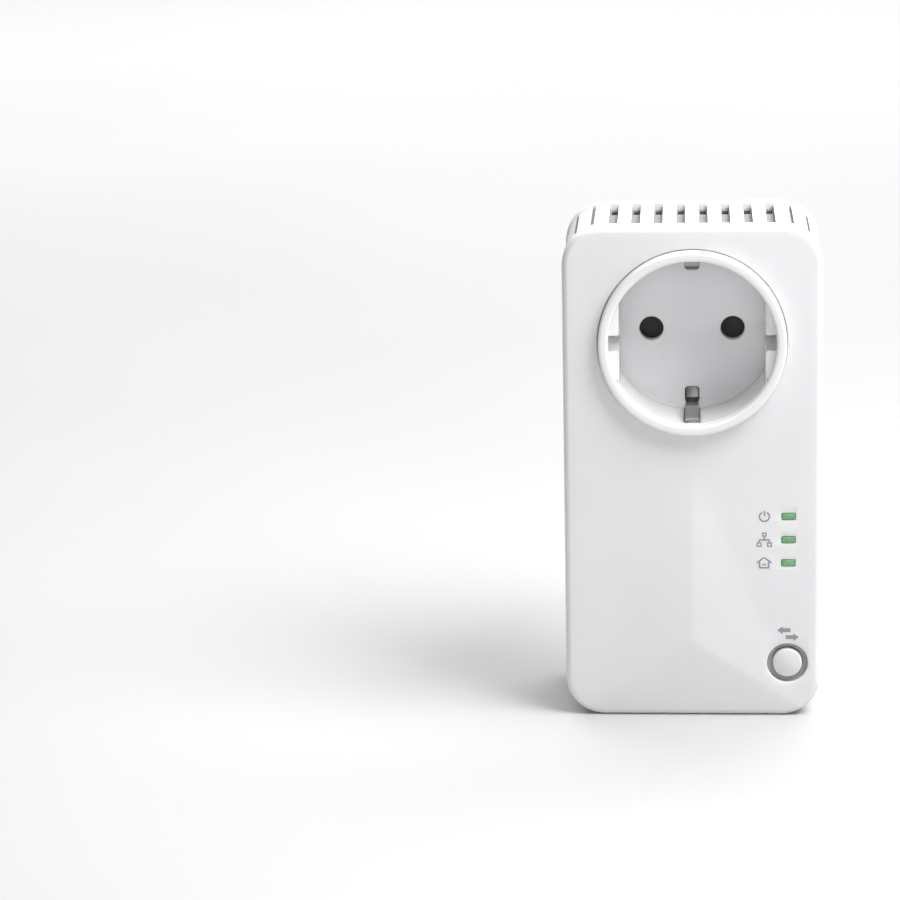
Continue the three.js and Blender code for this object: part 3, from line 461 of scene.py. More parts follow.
white_shell = plastic("white_shell_plastic", (0.77, 0.77, 0.782), 0.40)
vent_white = plastic("vent_white_plastic", (0.77, 0.77, 0.78), 0.42, grain=0.3)
# Painted shade: dark grey on the vent band's sunk faces, standing in for the shadow in its channels and slots.
painted_channel_shade = plastic("vent_channel_painted_shade", (0.24, 0.24, 0.246), 0.55, grain=0.3)
gloss_white = plastic("gloss_white_plastic", (0.83, 0.83, 0.836), 0.20, grain=0.8, grain_depth=0.002,
                      coat=0.5)
floor_grey = plastic("socket_floor_plastic", (0.82, 0.825, 0.838), 0.34, grain=0.6, grain_depth=0.004,
                     cloud=0.008)
cap_white = plastic("button_plastic", (0.70, 0.70, 0.705), 0.30, grain=0.4, grain_depth=0.003, coat=0.2)
# Painted shade: dark grey standing in for the shadow in the button's well.
painted_well_shade = plastic("well_painted_shade_plastic", (0.32, 0.325, 0.33), 0.35, grain=0.4)
print_grey = plastic("printed_ink", (0.29, 0.29, 0.30), 0.5, grain=0.3, grain_depth=0.003)
dark_plastic = plastic("dark_plastic", (0.010, 0.010, 0.012), 0.55, grain=0.4, cloud=0.15)
core_plastic = plastic("carrier_plastic", (0.55, 0.56, 0.58), 0.42)
yellow_plastic = plastic("jack_plastic", (0.87, 0.62, 0.02), 0.36, grain=0.5, grain_depth=0.004,
                         subsurface=0.15)
tape_yellow = plastic("winding_tape", (0.75, 0.56, 0.12), 0.35, grain=1.2, grain_depth=0.03, cloud=0.06)
ferrite_grey = plastic("ferrite_ceramic", (0.05, 0.05, 0.055), 0.62, grain=0.25, grain_depth=0.02, cloud=0.12)
sleeve_black = plastic("shrink_sleeve", (0.02, 0.021, 0.024), 0.36, grain=1.5, grain_depth=0.01, cloud=0.12)
box_grey = plastic("film_capacitor_case", (0.32, 0.33, 0.345), 0.45, cloud=0.05)
disc_blue = plastic("varistor_epoxy", (0.03, 0.10, 0.34), 0.3, grain=1.1, grain_depth=0.03, cloud=0.1)
film_clear = plastic("insulating_film", (0.78, 0.75, 0.62), 0.35, grain=2.0, grain_depth=0.01)
spring_steel = metal("spring_steel", (0.60, 0.605, 0.62), 0.32)
nickel = metal("nickel_plate", (0.72, 0.70, 0.67), 0.22, (4, 0.5, 4))
clip_metal = metal("earth_clip_plate", (0.44, 0.44, 0.446), 0.34, (4, 0.5, 1))
brass = metal("brass", (0.72, 0.50, 0.20), 0.26, (1, 0.4, 1))
gold = metal("gold_flash", (0.90, 0.66, 0.25), 0.2)
can_metal = metal("can_aluminium", (0.56, 0.57, 0.58), 0.36, (0.4, 1, 1))
green_lens = lens("green_lens", (0.13, 0.28, 0.14), (0.10, 0.55, 0.16), 0.18)
board_green = laminate("circuit_board", (0.02, 0.12, 0.05), (0.035, 0.19, 0.08))

SLOT_LOOKS = {
    "white_shell": white_shell, "gloss_white": gloss_white, "grey_white": core_plastic,
    "dark_plastic": dark_plastic, "spring_steel": spring_steel, "nickel": nickel, "brass": brass,
    "green_lens": green_lens, "clear_film": film_clear, "circuit_board": board_green,
    "yellow_plastic": yellow_plastic, "gold": gold, "ferrite": ferrite_grey, "winding_tape": tape_yellow,
    "can_aluminium": can_metal, "black_sleeve": sleeve_black, "grey_box": box_grey, "blue_disc": disc_blue,
}


# ---- Front cover: crowned face, soft edge, button well and light windows ----

APEX_Z = BOTTOM + 19.1
RIDGE_TOP_Z = BOTTOM + 60.6
FOOT_X = HALF_W - 2.6
FOOT_Z = BOTTOM + 0.6
FACE_EDGE = 1.5  # radius of the soft edge round the face
CREASE = 0.035  # how softly the crown's facets meet, in height


def facet(a, b, c):
    """The height of the plane through three (x, z, height) points, as a function of x and z."""
    normal = (Vector(b) - Vector(a)).cross(Vector(c) - Vector(a))
    return lambda x, z: a[2] - (normal.x * (x - a[0]) + normal.y * (z - a[1])) / normal.z


apex = (0, APEX_Z, CROWN)
ridge_top = (0, RIDGE_TOP_Z, 0)
facets = [
    facet(ridge_top, apex, (-FOOT_X, FOOT_Z, 0)),
    facet(ridge_top, apex, (FOOT_X, FOOT_Z, 0)),
    facet(apex, (-FOOT_X, FOOT_Z, 0), (FOOT_X, FOOT_Z, 0)),
]


def soft_min(values, width):
    """The least of the values, rounded where two of them are close."""
    low = min(values)
    return low - width * math.log(sum(math.exp((low - v) / width) for v in values))


def crown(x, z):
    """How far the face stands proud of the flat plane. It dies out just inside the side edges."""
    low = soft_min([f(x, z) for f in facets], CREASE)
    rise = CREASE * math.log1p(math.exp(low / CREASE)) if low < 60 * CREASE else low
    fade = min(1.0, max(0.0, (HALF_W - 0.4 - abs(x)) / 2.0))
    return rise * fade


def face_y(x, z):
    return FACE_Y - crown(x, z)


def face_spots():
    """A grid over the face, finer where the crown's creases run."""
    spots = grid(HALF_W - FACE_EDGE - 0.8, BOTTOM + FACE_EDGE + 0.8, TOP - FACE_EDGE - 0.8, 2.0)
    steps = 90
    for i in range(steps):
        t = (i + 0.5) / steps
        for side in (-1, 0, 1):
            spots.append((side * 0.28, RIDGE_TOP_Z + (APEX_Z - RIDGE_TOP_Z) * t))
        for sx in (-1, 1):
            x, z = sx * FOOT_X * t, APEX_Z + (FOOT_Z - APEX_Z) * t
            for side in (-0.3, 0, 0.3):
                spots.append((x + side * 0.5 * sx, z + side))
    return spots


def window_outline(node, grown):
    half_w, half_h = WINDOW_HALF
    return rounded_rect(-grown, half_w + WINDOW_GAP, half_h + WINDOW_GAP, 0.25 + WINDOW_GAP,
                        middle_of(node), 4)


LIGHTS = ("light_pipe_power", "light_pipe_network", "light_pipe_link")


def hole_down(build, outline_at, rim, bottom):
    """A hole down from the face, with a rim softened by rim. Returns its first and last loop."""
    edge = [(grown, lambda x, z, s=sunk: face_y(x, z) + s)
            for grown, sunk in ((rim, 0.0), (rim * 0.3, rim * 0.3), (0.0, rim))]
    return bored(build, outline_at, edge + [(0.0, bottom)])


def front_cover():
    """The crowned face with its openings, and the shallow side behind it."""
    build = Build()
    inner_y = FACE_Y + WALL
    well_y = FACE_Y + WELL_DEPTH
    rounding = build.rings(rounded_rect, [(inset, lambda x, z, s=sink: face_y(x, z) + s)
                                          for inset, sink in edge_round(FACE_EDGE, 7)])
    outer_rim = build.rings(rounded_rect, ((0, RIM_Y - 0.25), (0.07, RIM_Y - 0.07), (0.25, RIM_Y)))
    inner = build.rings(rounded_rect, ((WALL, RIM_Y), (WALL, inner_y)))
    build.loft(rounding + outer_rim + inner)
    holes = [hole_down(build, lambda g: circle(RING_R + RING_GAP + g), 0.35, inner_y)]
    for name in LIGHTS:
        holes.append(hole_down(build, lambda g, n=name: window_outline(n, g), WINDOW_GAP, inner_y))
    well_out, well_in = hole_down(build, lambda g: button_circle(WELL_R + g), 0.3, well_y)
    bore = build.rings(button_circle, ((BUTTON_R + GAP, well_y), (BUTTON_R + GAP, inner_y)))
    build.loft([well_in, *bore])
    build.cap([rounding[0], *(front for front, _ in holes), well_out], face_spots(), face_y)
    build.cap([inner[-1], *(end for _, end in holes), bore[-1]])
    piece = build.finish("front_cover_shell", white_shell, sharp=40)
    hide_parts("front_cover")


def button_circle(radius):
    return circle(radius, BUTTON_X, BUTTON_Z, MID_ROUND)


def well_ring():
    """A dark grey ring in the button's well: painted shade for the shadow in the well."""
    build = Build()
    outer, inner = WELL_R - 0.12, BUTTON_R + GAP + 0.1
    y0, y1 = FACE_Y + WELL_DEPTH - 0.35, FACE_Y + WELL_DEPTH - 0.02
    loops = build.rings(button_circle, ((outer, y1), (outer, y0 - 0.3), (outer - 0.12, y0 - 0.3),
                                        (outer - 0.3, y0), (inner + 0.15, y0), (inner, y0 + 0.1),
                                        (inner, y1)))
    build.loft(loops + [loops[0]])
    piece = build.finish("button_well_ring", painted_well_shade)


# ---- Generic pictograms beside the lights and above the button, as thin raised ink ----

INK = 0.05  # how far the ink stands proud
ICON_LEFT = 5.6  # how far the icons' centres lie left of the lights


def ink(name, outlines):
    """One pictogram: each outline is (points, holes) in millimetres on the face."""
    build = Build()
    for points, holes in outlines:
        tops = [build.loop(p, lambda x, z: face_y(x, z) - INK) for p in (points, *holes)]
        feet = [build.loop(p, lambda x, z: face_y(x, z) + INK) for p in (points, *holes)]
        for top, foot in zip(tops, feet):
            build.strip(top, foot)
        build.cap(tops)
        build.cap(feet)
    piece = build.finish(name, print_grey, merge=0.0001)


def bar(x0, z0, x1, z1, width):
    """A straight stroke with square ends."""
    along = Vector((x1 - x0, z1 - z0)).normalized()
    across = Vector((-along.y, along.x)) * width / 2
    return ([(x0 + across.x, z0 + across.y), (x0 - across.x, z0 - across.y),
             (x1 - across.x, z1 - across.y), (x1 + across.x, z1 + across.y)], [])


def ring_sector(x, z, radius, width, start, end, steps=20):
    """Part of a ring, from start to end degrees."""
    angles = [math.radians(start + (end - start) * i / steps) for i in range(steps + 1)]
    outer, inner = [[(x + r * math.cos(a), z + r * math.sin(a)) for a in angles]
                    for r in (radius + width / 2, radius - width / 2)]
    return outer + inner[::-1], []


def rectangle(x, z, half_w, half_h):
    return [(x + sx * half_w, z + sz * half_h) for sx, sz in ((-1, -1), (1, -1), (1, 1), (-1, 1))]


def frame_outline(x, z, half_w, half_h, width):
    """A square outline with a square hole."""
    return rectangle(x, z, half_w, half_h), [rectangle(x, z, half_w - width, half_h - width)]


def arrow(x, z, length, height, way):
    """A block arrow about (x, z), pointing to way = -1 left or 1 right."""
    tip = length / 2
    neck = tip - 0.42 * length
    tail = height * 0.25
    points = [(-tip, -tail), (neck, -tail), (neck, -height / 2), (tip, 0), (neck, height / 2), (neck, tail),
              (-tip, tail)]
    placed_points = [(x + way * px, z + pz) for px, pz in points]
    return (placed_points if way > 0 else placed_points[::-1]), []


def pictograms():
    line = 0.36
    thin = line * 0.8
    x, z = middle_of(LIGHTS[0])
    x -= ICON_LEFT
    ink("icon_power", [ring_sector(x, z, 1.15, line, 118, 422), bar(x, z + 0.1, x, z + 1.45, line)])
    z = middle_of(LIGHTS[1])[1]
    ink("icon_network", [
        frame_outline(x, z + 1.3, 0.55, 0.5, thin),
        bar(x, z + 0.78, x, z + 0.12, line),
        bar(x - 1.25, z, x + 1.25, z, line),
        frame_outline(x - 1.2, z - 1.15, 0.6, 0.55, thin),
        frame_outline(x + 1.2, z - 1.15, 0.6, 0.55, thin),
        bar(x - 1.2, z - 0.16, x - 1.2, z - 0.58, line),
        bar(x + 1.2, z - 0.16, x + 1.2, z - 0.58, line)])
    z = middle_of(LIGHTS[2])[1]
    ink("icon_home", [
        bar(x - 1.7, z + 0.05, x - 0.1, z + 1.35, line),
        bar(x + 0.1, z + 1.35, x + 1.7, z + 0.05, line),
        bar(x - 1.05, z + 0.3, x - 1.05, z - 1.3, line),
        bar(x + 1.05, z + 0.3, x + 1.05, z - 1.3, line),
        bar(x - 0.88, z - 1.15, x + 0.88, z - 1.15, line),
        ring_sector(x, z - 0.75, 0.45, thin, 25, 155)])
    ink("icon_pair", [arrow(BUTTON_X - 0.9, BUTTON_Z + 8.1, 3.1, 1.9, -1),
                      arrow(BUTTON_X + 1.1, BUTTON_Z + 6.4, 3.1, 1.9, 1)])


# ---- Vent frame: a band of slats, with slots in shallow channels and deep channels on top ----

SLOT_FRONT = 2.6
SLOT_REAR = 3.6
GROOVE_HALF = 0.4
GROOVE_ANGLES = (15, 45, 75)
PANEL_HALF = 18.5
STRIP_FRONT = 2.5
STRIP_REAR = 1.3


# One place on the band's outline, with the kind of stretch that follows it
Station = namedtuple("Station", "point normal kind")


def straight_stretch(start, end, normal, centres, kind="vent", channel="channel", splits=()):
    """Stations along one straight side, with a channel and a slot about each centre."""
    run = Vector(end) - Vector(start)
    length = run.length
    along = run.normalized()
    marks = [(0.0, "land")]
    for centre in sorted(centres):
        marks += [(centre - CHANNEL_HALF, channel), (centre - SLOT_HALF, kind), (centre + SLOT_HALF, channel),
                  (centre + CHANNEL_HALF, "land")]
    marks += [(split, [what for s, what in marks if s < split][-1]) for split in splits]
    return [Station((start[0] + along.x * s, start[1] + along.y * s), normal, what)
            for s, what in sorted(marks) if s < length - 1e-6]


def corner_stretch(x, z, start, radius):
    """Stations round one corner, with a narrow groove at each groove angle."""
    half = math.degrees(GROOVE_HALF / radius)
    marks = []
    for angle in GROOVE_ANGLES:
        marks += [(angle - half, "channel"), (angle + half, "land")]
    fine = {0.0: "land", **dict(marks)}
    for extra in (6, 24, 30, 36, 54, 60, 66, 84):
        fine.setdefault(float(extra), "land")
    stations = []
    for angle in sorted(fine):
        a = math.radians(start + angle)
        normal = (math.cos(a), math.sin(a))
        stations.append(Station((x + radius * normal[0], z + radius * normal[1]), normal, fine[angle]))
    return stations


def band_stations():
    """The whole outline, anticlockwise from the lower right corner's end."""
    radius = CORNER - BAND_INSET
    cx, cz = HALF_W - CORNER, HALF_H - CORNER
    side = [cz + (i - (SIDE_SLOTS - 1) / 2) * PITCH for i in range(SIDE_SLOTS)]
    short = [cx + (i - (SHORT_SLOTS - 1) / 2) * PITCH for i in range(SHORT_SLOTS)]
    half_w, half_h = HALF_W - BAND_INSET, HALF_H - BAND_INSET
    right = straight_stretch((half_w, MID_Z - cz), (half_w, MID_Z + cz), (1, 0), side)
    top = straight_stretch((cx, MID_Z + half_h), (-cx, MID_Z + half_h), (0, 1), short, "top", "deep")
    left = straight_stretch((-half_w, MID_Z + cz), (-half_w, MID_Z - cz), (-1, 0), side)
    opening = PANEL_HALF + GAP
    under = straight_stretch((-cx, MID_Z - half_h), (cx, MID_Z - half_h), (0, -1), short, "under",
                             splits=(cx - opening, cx + opening))
    corners = [corner_stretch(sx * cx, MID_Z + sz * cz, start, radius)
               for sx, sz, start in ((1, 1, 0), (-1, 1, 90), (-1, -1, 180), (1, -1, 270))]
    return right + corners[0] + top + corners[1] + left + corners[2] + under + corners[3]


def vent_frame():
    """Cells between stations and depth rows: each is land, channel, or a hole through the wall."""
    build = Build()
    y0, y1 = BAND_Y
    rows = [y0, y0 + 0.6, y0 + STRIP_FRONT - GAP, y0 + SLOT_FRONT, y1 - TOP_SLOT_START, y1 - SLOT_REAR,
            y1 - STRIP_REAR + GAP, y1]
    open_rows = {"vent": (3, 4), "top": (4, 5), "under": (1,)}
    panel_rows = (2, 3, 4, 5)
    stations = band_stations()
    count = len(stations)

    def in_panel(i):
        ends = (stations[i], stations[(i + 1) % count])
        return all(s.normal[1] < -0.99 and abs(s.point[0]) <= PANEL_HALF + GAP + 0.01 for s in ends)

    def level(i, j):
        """How far a cell's face lies inside the outline, or None for a hole."""
        kind = stations[i % count].kind
        if in_panel(i % count) and j in panel_rows:
            return None
        if kind == "land":
            return 0.0
        if j in open_rows.get(kind, ()):
            return None
        return TOP_CHANNEL_DEPTH if kind in ("top", "deep") else CHANNEL_DEPTH

    def vert(i, row, inset):
        s = stations[i % count]
        return (s.point[0] - s.normal[0] * inset, rows[row], s.point[1] - s.normal[1] * inset)

    def quad(*corners, sunk=False):
        """A face through (station, row, inset) corners, with the painted channel shade where it is sunk."""
        face = build.bm.faces.new([build.bm.verts.new(vert(*c)) for c in corners])
        face.material_index = int(sunk)

    def steps(a, b):
        """The levels between two cells' faces, in pairs, so that walls meet corner to corner."""
        low, high = sorted(WALL if v is None else v for v in (a, b))
        levels = [v for v in (0.0, CHANNEL_DEPTH, TOP_CHANNEL_DEPTH, WALL) if low <= v <= high]
        return zip(levels, levels[1:])

    def wall_across(i, j, a, b):
        """The wall in the plane of row j, between two cells' faces."""
        for low, high in steps(a, b):
            quad((i, j, low), (i + 1, j, low), (i + 1, j, high), (i, j, high), sunk=j > 0)

    def wall_along(i, j, a, b):
        """The wall at station i, between two cells' faces."""
        for low, high in steps(a, b):
            quad((i, j, low), (i, j + 1, low), (i, j + 1, high), (i, j, high), sunk=True)

    for i in range(count):
        for j in range(len(rows) - 1):
            here = level(i, j)
            if here is not None:
                for inset in (here, WALL):
                    quad((i, j, inset), (i + 1, j, inset), (i + 1, j + 1, inset), (i, j + 1, inset),
                         sunk=inset > 0)
            ahead = level(i, j + 1) if j + 2 < len(rows) else None
            wall_across(i, j + 1, here, ahead)
            wall_along(i + 1, j, here, level(i + 1, j))
        wall_across(i, 0, level(i, 0), None)
    # The sunk faces take the painted channel shade.
    piece = build.finish("vent_band", vent_white, sharp=30, bevel=0.16, painted_shade_look=painted_channel_shade)
    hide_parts("vent_frame")


# ---- Port panel and network jack ----

PLATE_Z = BOTTOM + BAND_INSET
PANEL_Y = (BAND_Y[0] + STRIP_FRONT, BAND_Y[1] - STRIP_REAR)
PANEL_WALL = 1.8
MOUTH_WIDTH, MOUTH_DEPTH, MOUTH_LENGTH = 11.9, 7.6, 16.0
LATCH_WIDTH, LATCH_DEPTH = 6.2, 1.6
NOTCH_WIDTH, NOTCH_DEPTH = 3.4, 1.4
JACK_X = (jack_low.x + jack_high.x) / 2
JACK_MIDDLE = (JACK_X, (jack_low.y + jack_high.y) / 2)
JACK_HALF_W = (jack_high.x - jack_low.x) / 2
JACK_HALF_D = (jack_high.y - jack_low.y) / 2
JACK_GAP = 0.15
MOUTH_REAR_Y = jack_high.y - 2.6
CONTACTS = 8
CONTACT_PITCH = 1.02


def lay_flat(build):
    """Swaps y and z, so that what was built to face forward faces down."""
    for vert in build.bm.verts:
        vert.co = Vector((vert.co.x, vert.co.z, vert.co.y))


def port_panel():
    """The flush plate round the jack."""
    build = Build()
    middle = (0.0, (PANEL_Y[0] + PANEL_Y[1]) / 2)
    half_d = (PANEL_Y[1] - PANEL_Y[0]) / 2
    rear = PLATE_Z + PANEL_WALL
    hole_w, hole_d = JACK_HALF_W + JACK_GAP, JACK_HALF_D + JACK_GAP
    outer = soft_wall(build, lambda inset: rounded_rect(inset, PANEL_HALF, half_d, 0.5, middle, 3),
                      0.2, PLATE_Z, rear)
    inner = soft_wall(build, lambda inset: rounded_rect(-inset, hole_w, hole_d, 0.4, JACK_MIDDLE, 3),
                      0.25, PLATE_Z, rear)
    build.cap([outer[0], inner[0]])
    build.cap([outer[1], inner[1]])
    lay_flat(build)
    piece = build.finish("port_plate", vent_white, sharp=50)
    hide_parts("port_panel")


def mouth_outline(grown):
    """The jack's mouth in (x, depth): a wide socket with two steps for the plug's latch."""
    rear = MOUTH_REAR_Y + grown
    front = MOUTH_REAR_Y - MOUTH_DEPTH - grown
    latch = MOUTH_REAR_Y - MOUTH_DEPTH - LATCH_DEPTH - grown
    notch = latch - NOTCH_DEPTH
    wide, middle, narrow = [w / 2 + grown for w in (MOUTH_WIDTH, LATCH_WIDTH, NOTCH_WIDTH)]
    right = [(wide, rear), (wide, front), (middle, front), (middle, latch), (narrow, latch), (narrow, notch)]
    return [(JACK_X + x, y) for x, y in right] + [(JACK_X - x, y) for x, y in right[::-1]]


def network_jack():
    """The yellow block, with its stepped mouth in the bottom face."""
    build = Build()
    face_z = jack_low.z
    outer = soft_wall(build, lambda inset: rounded_rect(inset, JACK_HALF_W, JACK_HALF_D, 0.4, JACK_MIDDLE, 3),
                      0.25, face_z, jack_high.z)
    mouth = bored(build, mouth_outline, ((0.3, face_z), (0.1, face_z + 0.1), (0, face_z + 0.35),
                                         (0, face_z + MOUTH_LENGTH)))
    build.cap([outer[0], mouth[0]])
    build.cap([outer[1]])
    build.cap([mouth[1]])
    lay_flat(build)
    piece = build.finish("jack_housing", yellow_plastic, sharp=35)
    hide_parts("lan_jack")


def tube_along(build, points, half_x, half_n):
    """A flat spring wire: a rectangle carried along points in the YZ plane, about one x for each point."""
    loops = []
    for i, (x, y, z) in enumerate(points):
        before = Vector(points[max(i - 1, 0)])
        after = Vector(points[min(i + 1, len(points) - 1)])
        along = (after - before).normalized()
        across = Vector((0, -along.z, along.y))
        corners = rectangle(0, 0, half_x, half_n)
        loops.append(build.loop3([Vector((x + a, y, z)) + across * b for a, b in corners]))
    build.loft(loops)
    build.fan(loops[0])
    build.fan(loops[-1][::-1])


def jack_contacts():
    """Eight gold spring wires that bow forward from the rear wall of the mouth, in their comb."""
    low, high = box_mm("lan_contacts")
    build = Build()
    base_z = high.z - 1.5
    reach = high.y - low.y - 0.75
    box(build, (JACK_X - 4.1, JACK_X + 4.1), (high.y - 1.4, high.y - 0.02), (base_z, high.z))
    for i in range(CONTACTS):
        x = JACK_X + (i - (CONTACTS - 1) / 2) * CONTACT_PITCH
        points = []
        for k in range(13):
            t = k / 12
            bow = 1.15 * math.sin(math.pi * min(1.0, t * 1.05)) ** 1.4
            points.append((x, high.y - 0.45 - bow * reach / 1.15, base_z + 0.3 - t * (base_z - low.z)))
        tube_along(build, points, 0.19, 0.14)
    piece = build.finish("jack_contact_wires", gold, sharp=40)
    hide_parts("lan_contacts")


# ---- Rear cover with the plug's nose ----

NOSE_GUIDE_HALF = 2.6
NOSE_GUIDE_DEPTH = 2.0
EARTH_HALF = 3.1
EARTH_DEPTH = 1.9
NOSE_HOLLOW = 15.6
SCREW_HOLE = 2.8
SCREW_SINK = 1.5
SCREWS = [f"housing_screw_{n}" for n in range(1, 5)]
PIN_GAP = 0.15


def nose_outline(inset):
    """The nose's outline: a circle with a guide groove at each side and an earth recess above and below."""
    radius = NOSE_R - inset
    guide = (NOSE_GUIDE_HALF - inset, NOSE_R - NOSE_GUIDE_DEPTH - inset)
    earth = (EARTH_HALF - inset, NOSE_R - EARTH_DEPTH - inset)
    cuts = [guide, earth, guide, earth]
    points = []
    for i in range(4):
        half, floor = cuts[(i + 1) % 4]
        edge = math.degrees(math.asin(cuts[i][0] / radius))
        after = math.degrees(math.asin(half / radius))
        for k in range(25):
            a = math.radians(i * 90 + edge + (90 - edge - after) * k / 24)
            points.append((radius * math.cos(a), radius * math.sin(a)))
        turn = math.radians((i + 1) % 4 * 90)
        for side in (-1, -0.33, 0.33, 1):
            x, z = floor, side * half
            points.append((x * math.cos(turn) - z * math.sin(turn), x * math.sin(turn) + z * math.cos(turn)))
    return points


def rear_cover():
    """The back plate with its lip, the nose, and the holes for the pins and screws."""
    build = Build()
    end_y = rear_high.y
    plate_y = BACK_Y - PLATE
    lip = build.rings(rounded_rect, ((WALL, REAR_RIM_Y), (0.25, REAR_RIM_Y), (0.07, REAR_RIM_Y + 0.07),
                                     (0, REAR_RIM_Y + 0.25)))
    rounding = build.rings(rounded_rect, rear_edge(REAR_EDGE, 6, BACK_Y))
    inner = build.loop(rounded_rect(WALL), plate_y)
    build.loft([inner, *lip, *rounding])
    foot = build.rings(nose_outline, ((-0.5, BACK_Y), (-0.15, BACK_Y + 0.15), (0, BACK_Y + 0.5)))
    wall = build.rings(nose_outline, rear_edge(NOSE_EDGE, 5, end_y))
    build.loft(foot + wall)
    pin_steps = [(grown, end_y - s) for grown, s in ((0.25, 0), (0.08, 0.08), (0, 0.25), (0, END_WALL))]
    pins = [bored(build, lambda g: circle(PIN_R + PIN_GAP + g, x, 0, SMALL_ROUND), pin_steps)
            for x in PIN_SIDES]
    build.cap([wall[-1], *(front for front, _ in pins)])
    hollow = build.rings(circle, ((NOSE_HOLLOW, end_y - END_WALL), (NOSE_HOLLOW, plate_y)))
    build.cap([hollow[0], *(end for _, end in pins)])
    build.loft(hollow)
    seat = SCREW_SINK + 0.02
    screw_steps = [(grown, BACK_Y - s) for grown, s in ((0.3, 0), (0.09, 0.09), (0, 0.3), (0, seat),
                                                        (-1.35, seat), (-1.35, PLATE))]
    screws = [bored(build, lambda g: circle(SCREW_HOLE + g, *middle_of(name), SMALL_ROUND), screw_steps)
              for name in SCREWS]
    build.cap([rounding[-1], foot[0], *(front for front, _ in screws)])
    build.cap([inner, hollow[-1], *(end for _, end in screws)])
    piece = build.finish("rear_cover_shell", white_shell, sharp=40)
    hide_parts("rear_cover")


# ---- Socket insert ----

CLIP_HALF = 1.9
CLIP_DEEP = 1.4
CLIP_UP = 13.9
SLOT_IN_Z = 14.0  # where the earth slot in the floor starts, from the axis
SLOT_IN_HALF = 2.1


def recess_outline(inset=0.0, guides=True, clips=False):
    """The recess's outline: a circle, flat at each guide block but for its groove, with clip grooves."""
    radius = RECESS_R - inset
    flat = GUIDE_X - inset
    points = []
    groove = math.degrees(math.asin((GUIDE_GROOVE + inset) / radius))
    corner = math.degrees(math.acos(flat / radius))
    clip = math.degrees(math.asin(CLIP_HALF / radius))
    flat_z = (GUIDE_GROOVE + inset, radius * math.sin(math.radians(corner)))
    clip_z = radius + CLIP_DEEP if clips else math.sqrt(radius ** 2 - CLIP_HALF ** 2)

    def at(angle):
        a = math.radians(angle)
        return (radius * math.cos(a), radius * math.sin(a))

    def guide_face(side, z0, z1):
        """Points down a guide block's face, or down the circle where there is no block."""
        for k in range(8):
            z = z0 + (z1 - z0) * k / 7
            x = flat if guides else math.sqrt(radius ** 2 - z ** 2)
            points.append((side * x, sign * z))

    for start, sign in ((0, 1), (180, -1)):
        points += [at(start - groove + 2 * groove * k / 6) for k in range(7)]
        guide_face(sign, *flat_z)
        points += [at(start + corner + (90 - clip - corner) * k / 19) for k in range(1, 20)]
        points += [(sign * CLIP_HALF, sign * clip_z), (-sign * CLIP_HALF, sign * clip_z)]
        points += [at(start + 90 + clip + (90 - clip - corner) * k / 19) for k in range(19)]
        guide_face(-sign, *flat_z[::-1])
    return points


def pin_hole(x):
    """A pin hole's outline by how far it is grown, and its rim's (growth, depth) steps."""
    return lambda grown: circle(HOLE_R + grown, x, 0, MID_ROUND), ((0.5, 0), (0.15, 0.12), (0, 0.45))


def earth_slot(side):
    """The same for the slot an earth clip stands in."""
    middle = (0, side * (SLOT_IN_Z + SLOT_IN_HALF))
    return (lambda grown: rounded_rect(-grown, CLIP_HALF - 0.2, SLOT_IN_HALF, 0.8, middle, 5),
            ((0.2, 0), (0.05, 0.05), (0, 0.2)))


OPENINGS = [pin_hole(x) for x in PIN_SIDES] + [earth_slot(side) for side in (-1, 1)]


def socket_insert():
    """The raised glossy ring and the recess wall, down to the floor plate."""
    build = Build()
    sides = len(recess_outline())
    rear = insert_high.y
    ledge_y = RING_Y + GUIDE_SETBACK
    clip_y = FLOOR_Y - CLIP_UP
    plate_y = FLOOR_Y + FLOOR_PLATE
    edge = [(RING_R - inset, RING_Y + sink) for inset, sink in edge_round(RING_EDGE, 5)[::-1]]
    skin = build.rings(lambda r: circle(r, 0, 0, sides), [(RING_R, rear)] + edge)
    build.loft(skin)
    lip = build.rings(lambda g: recess_outline(-g, guides=False),
                      ((0.6, RING_Y), (0.3, RING_Y + 0.08), (0.08, RING_Y + 0.3), (0, RING_Y + 0.6),
                       (0, ledge_y)))
    build.cap([skin[-1], lip[0]])
    lip += build.rings(lambda g: recess_outline(-g),
                       ((0.35, ledge_y), (0.1, ledge_y + 0.1), (0, ledge_y + 0.35), (0, clip_y)))
    lip += build.rings(lambda g: recess_outline(-g, clips=True),
                       ((0, clip_y), (0, FLOOR_Y - 0.5), (0, plate_y)))
    build.loft(lip)
    fronts = [build.loop(outline_at(0), plate_y) for outline_at, _ in OPENINGS]
    backs = [build.loop(outline_at(0), rear) for outline_at, _ in OPENINGS]
    for front, back in zip(fronts, backs):
        build.strip(front, back)
    build.cap([lip[-1], *fronts])
    build.cap([skin[0], *backs])
    piece = build.finish("socket_ring", gloss_white, sharp=35)
    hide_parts("socket_insert")


def socket_floor():
    """The grey floor plate, with a soft rim where it meets the wall, pin holes and earth slots."""
    build = Build()
    rear_y = FLOOR_Y + FLOOR_PLATE - 0.05
    rim = [build.loop([(x * s, z * s) for x, z in recess_outline(0.04)], FLOOR_Y - rise)
           for s, rise in ((0.978, 0), (0.99, 0.07), (1.0, 0.35))]
    rear = build.loop(recess_outline(0.04), rear_y)
    holes = [bored(build, outline_at, [(grown, FLOOR_Y + s) for grown, s in steps] + [(0, rear_y)])
             for outline_at, steps in OPENINGS]
    build.loft(rim[::-1])
    build.strip(rim[-1], rear)
    build.cap([rim[0], *(front for front, _ in holes)])
    build.cap([rear, *(end for _, end in holes)])
    piece = build.finish("socket_floor_plate", floor_grey, sharp=40)


# ---- Button, light pipes, pins, contacts and screws ----

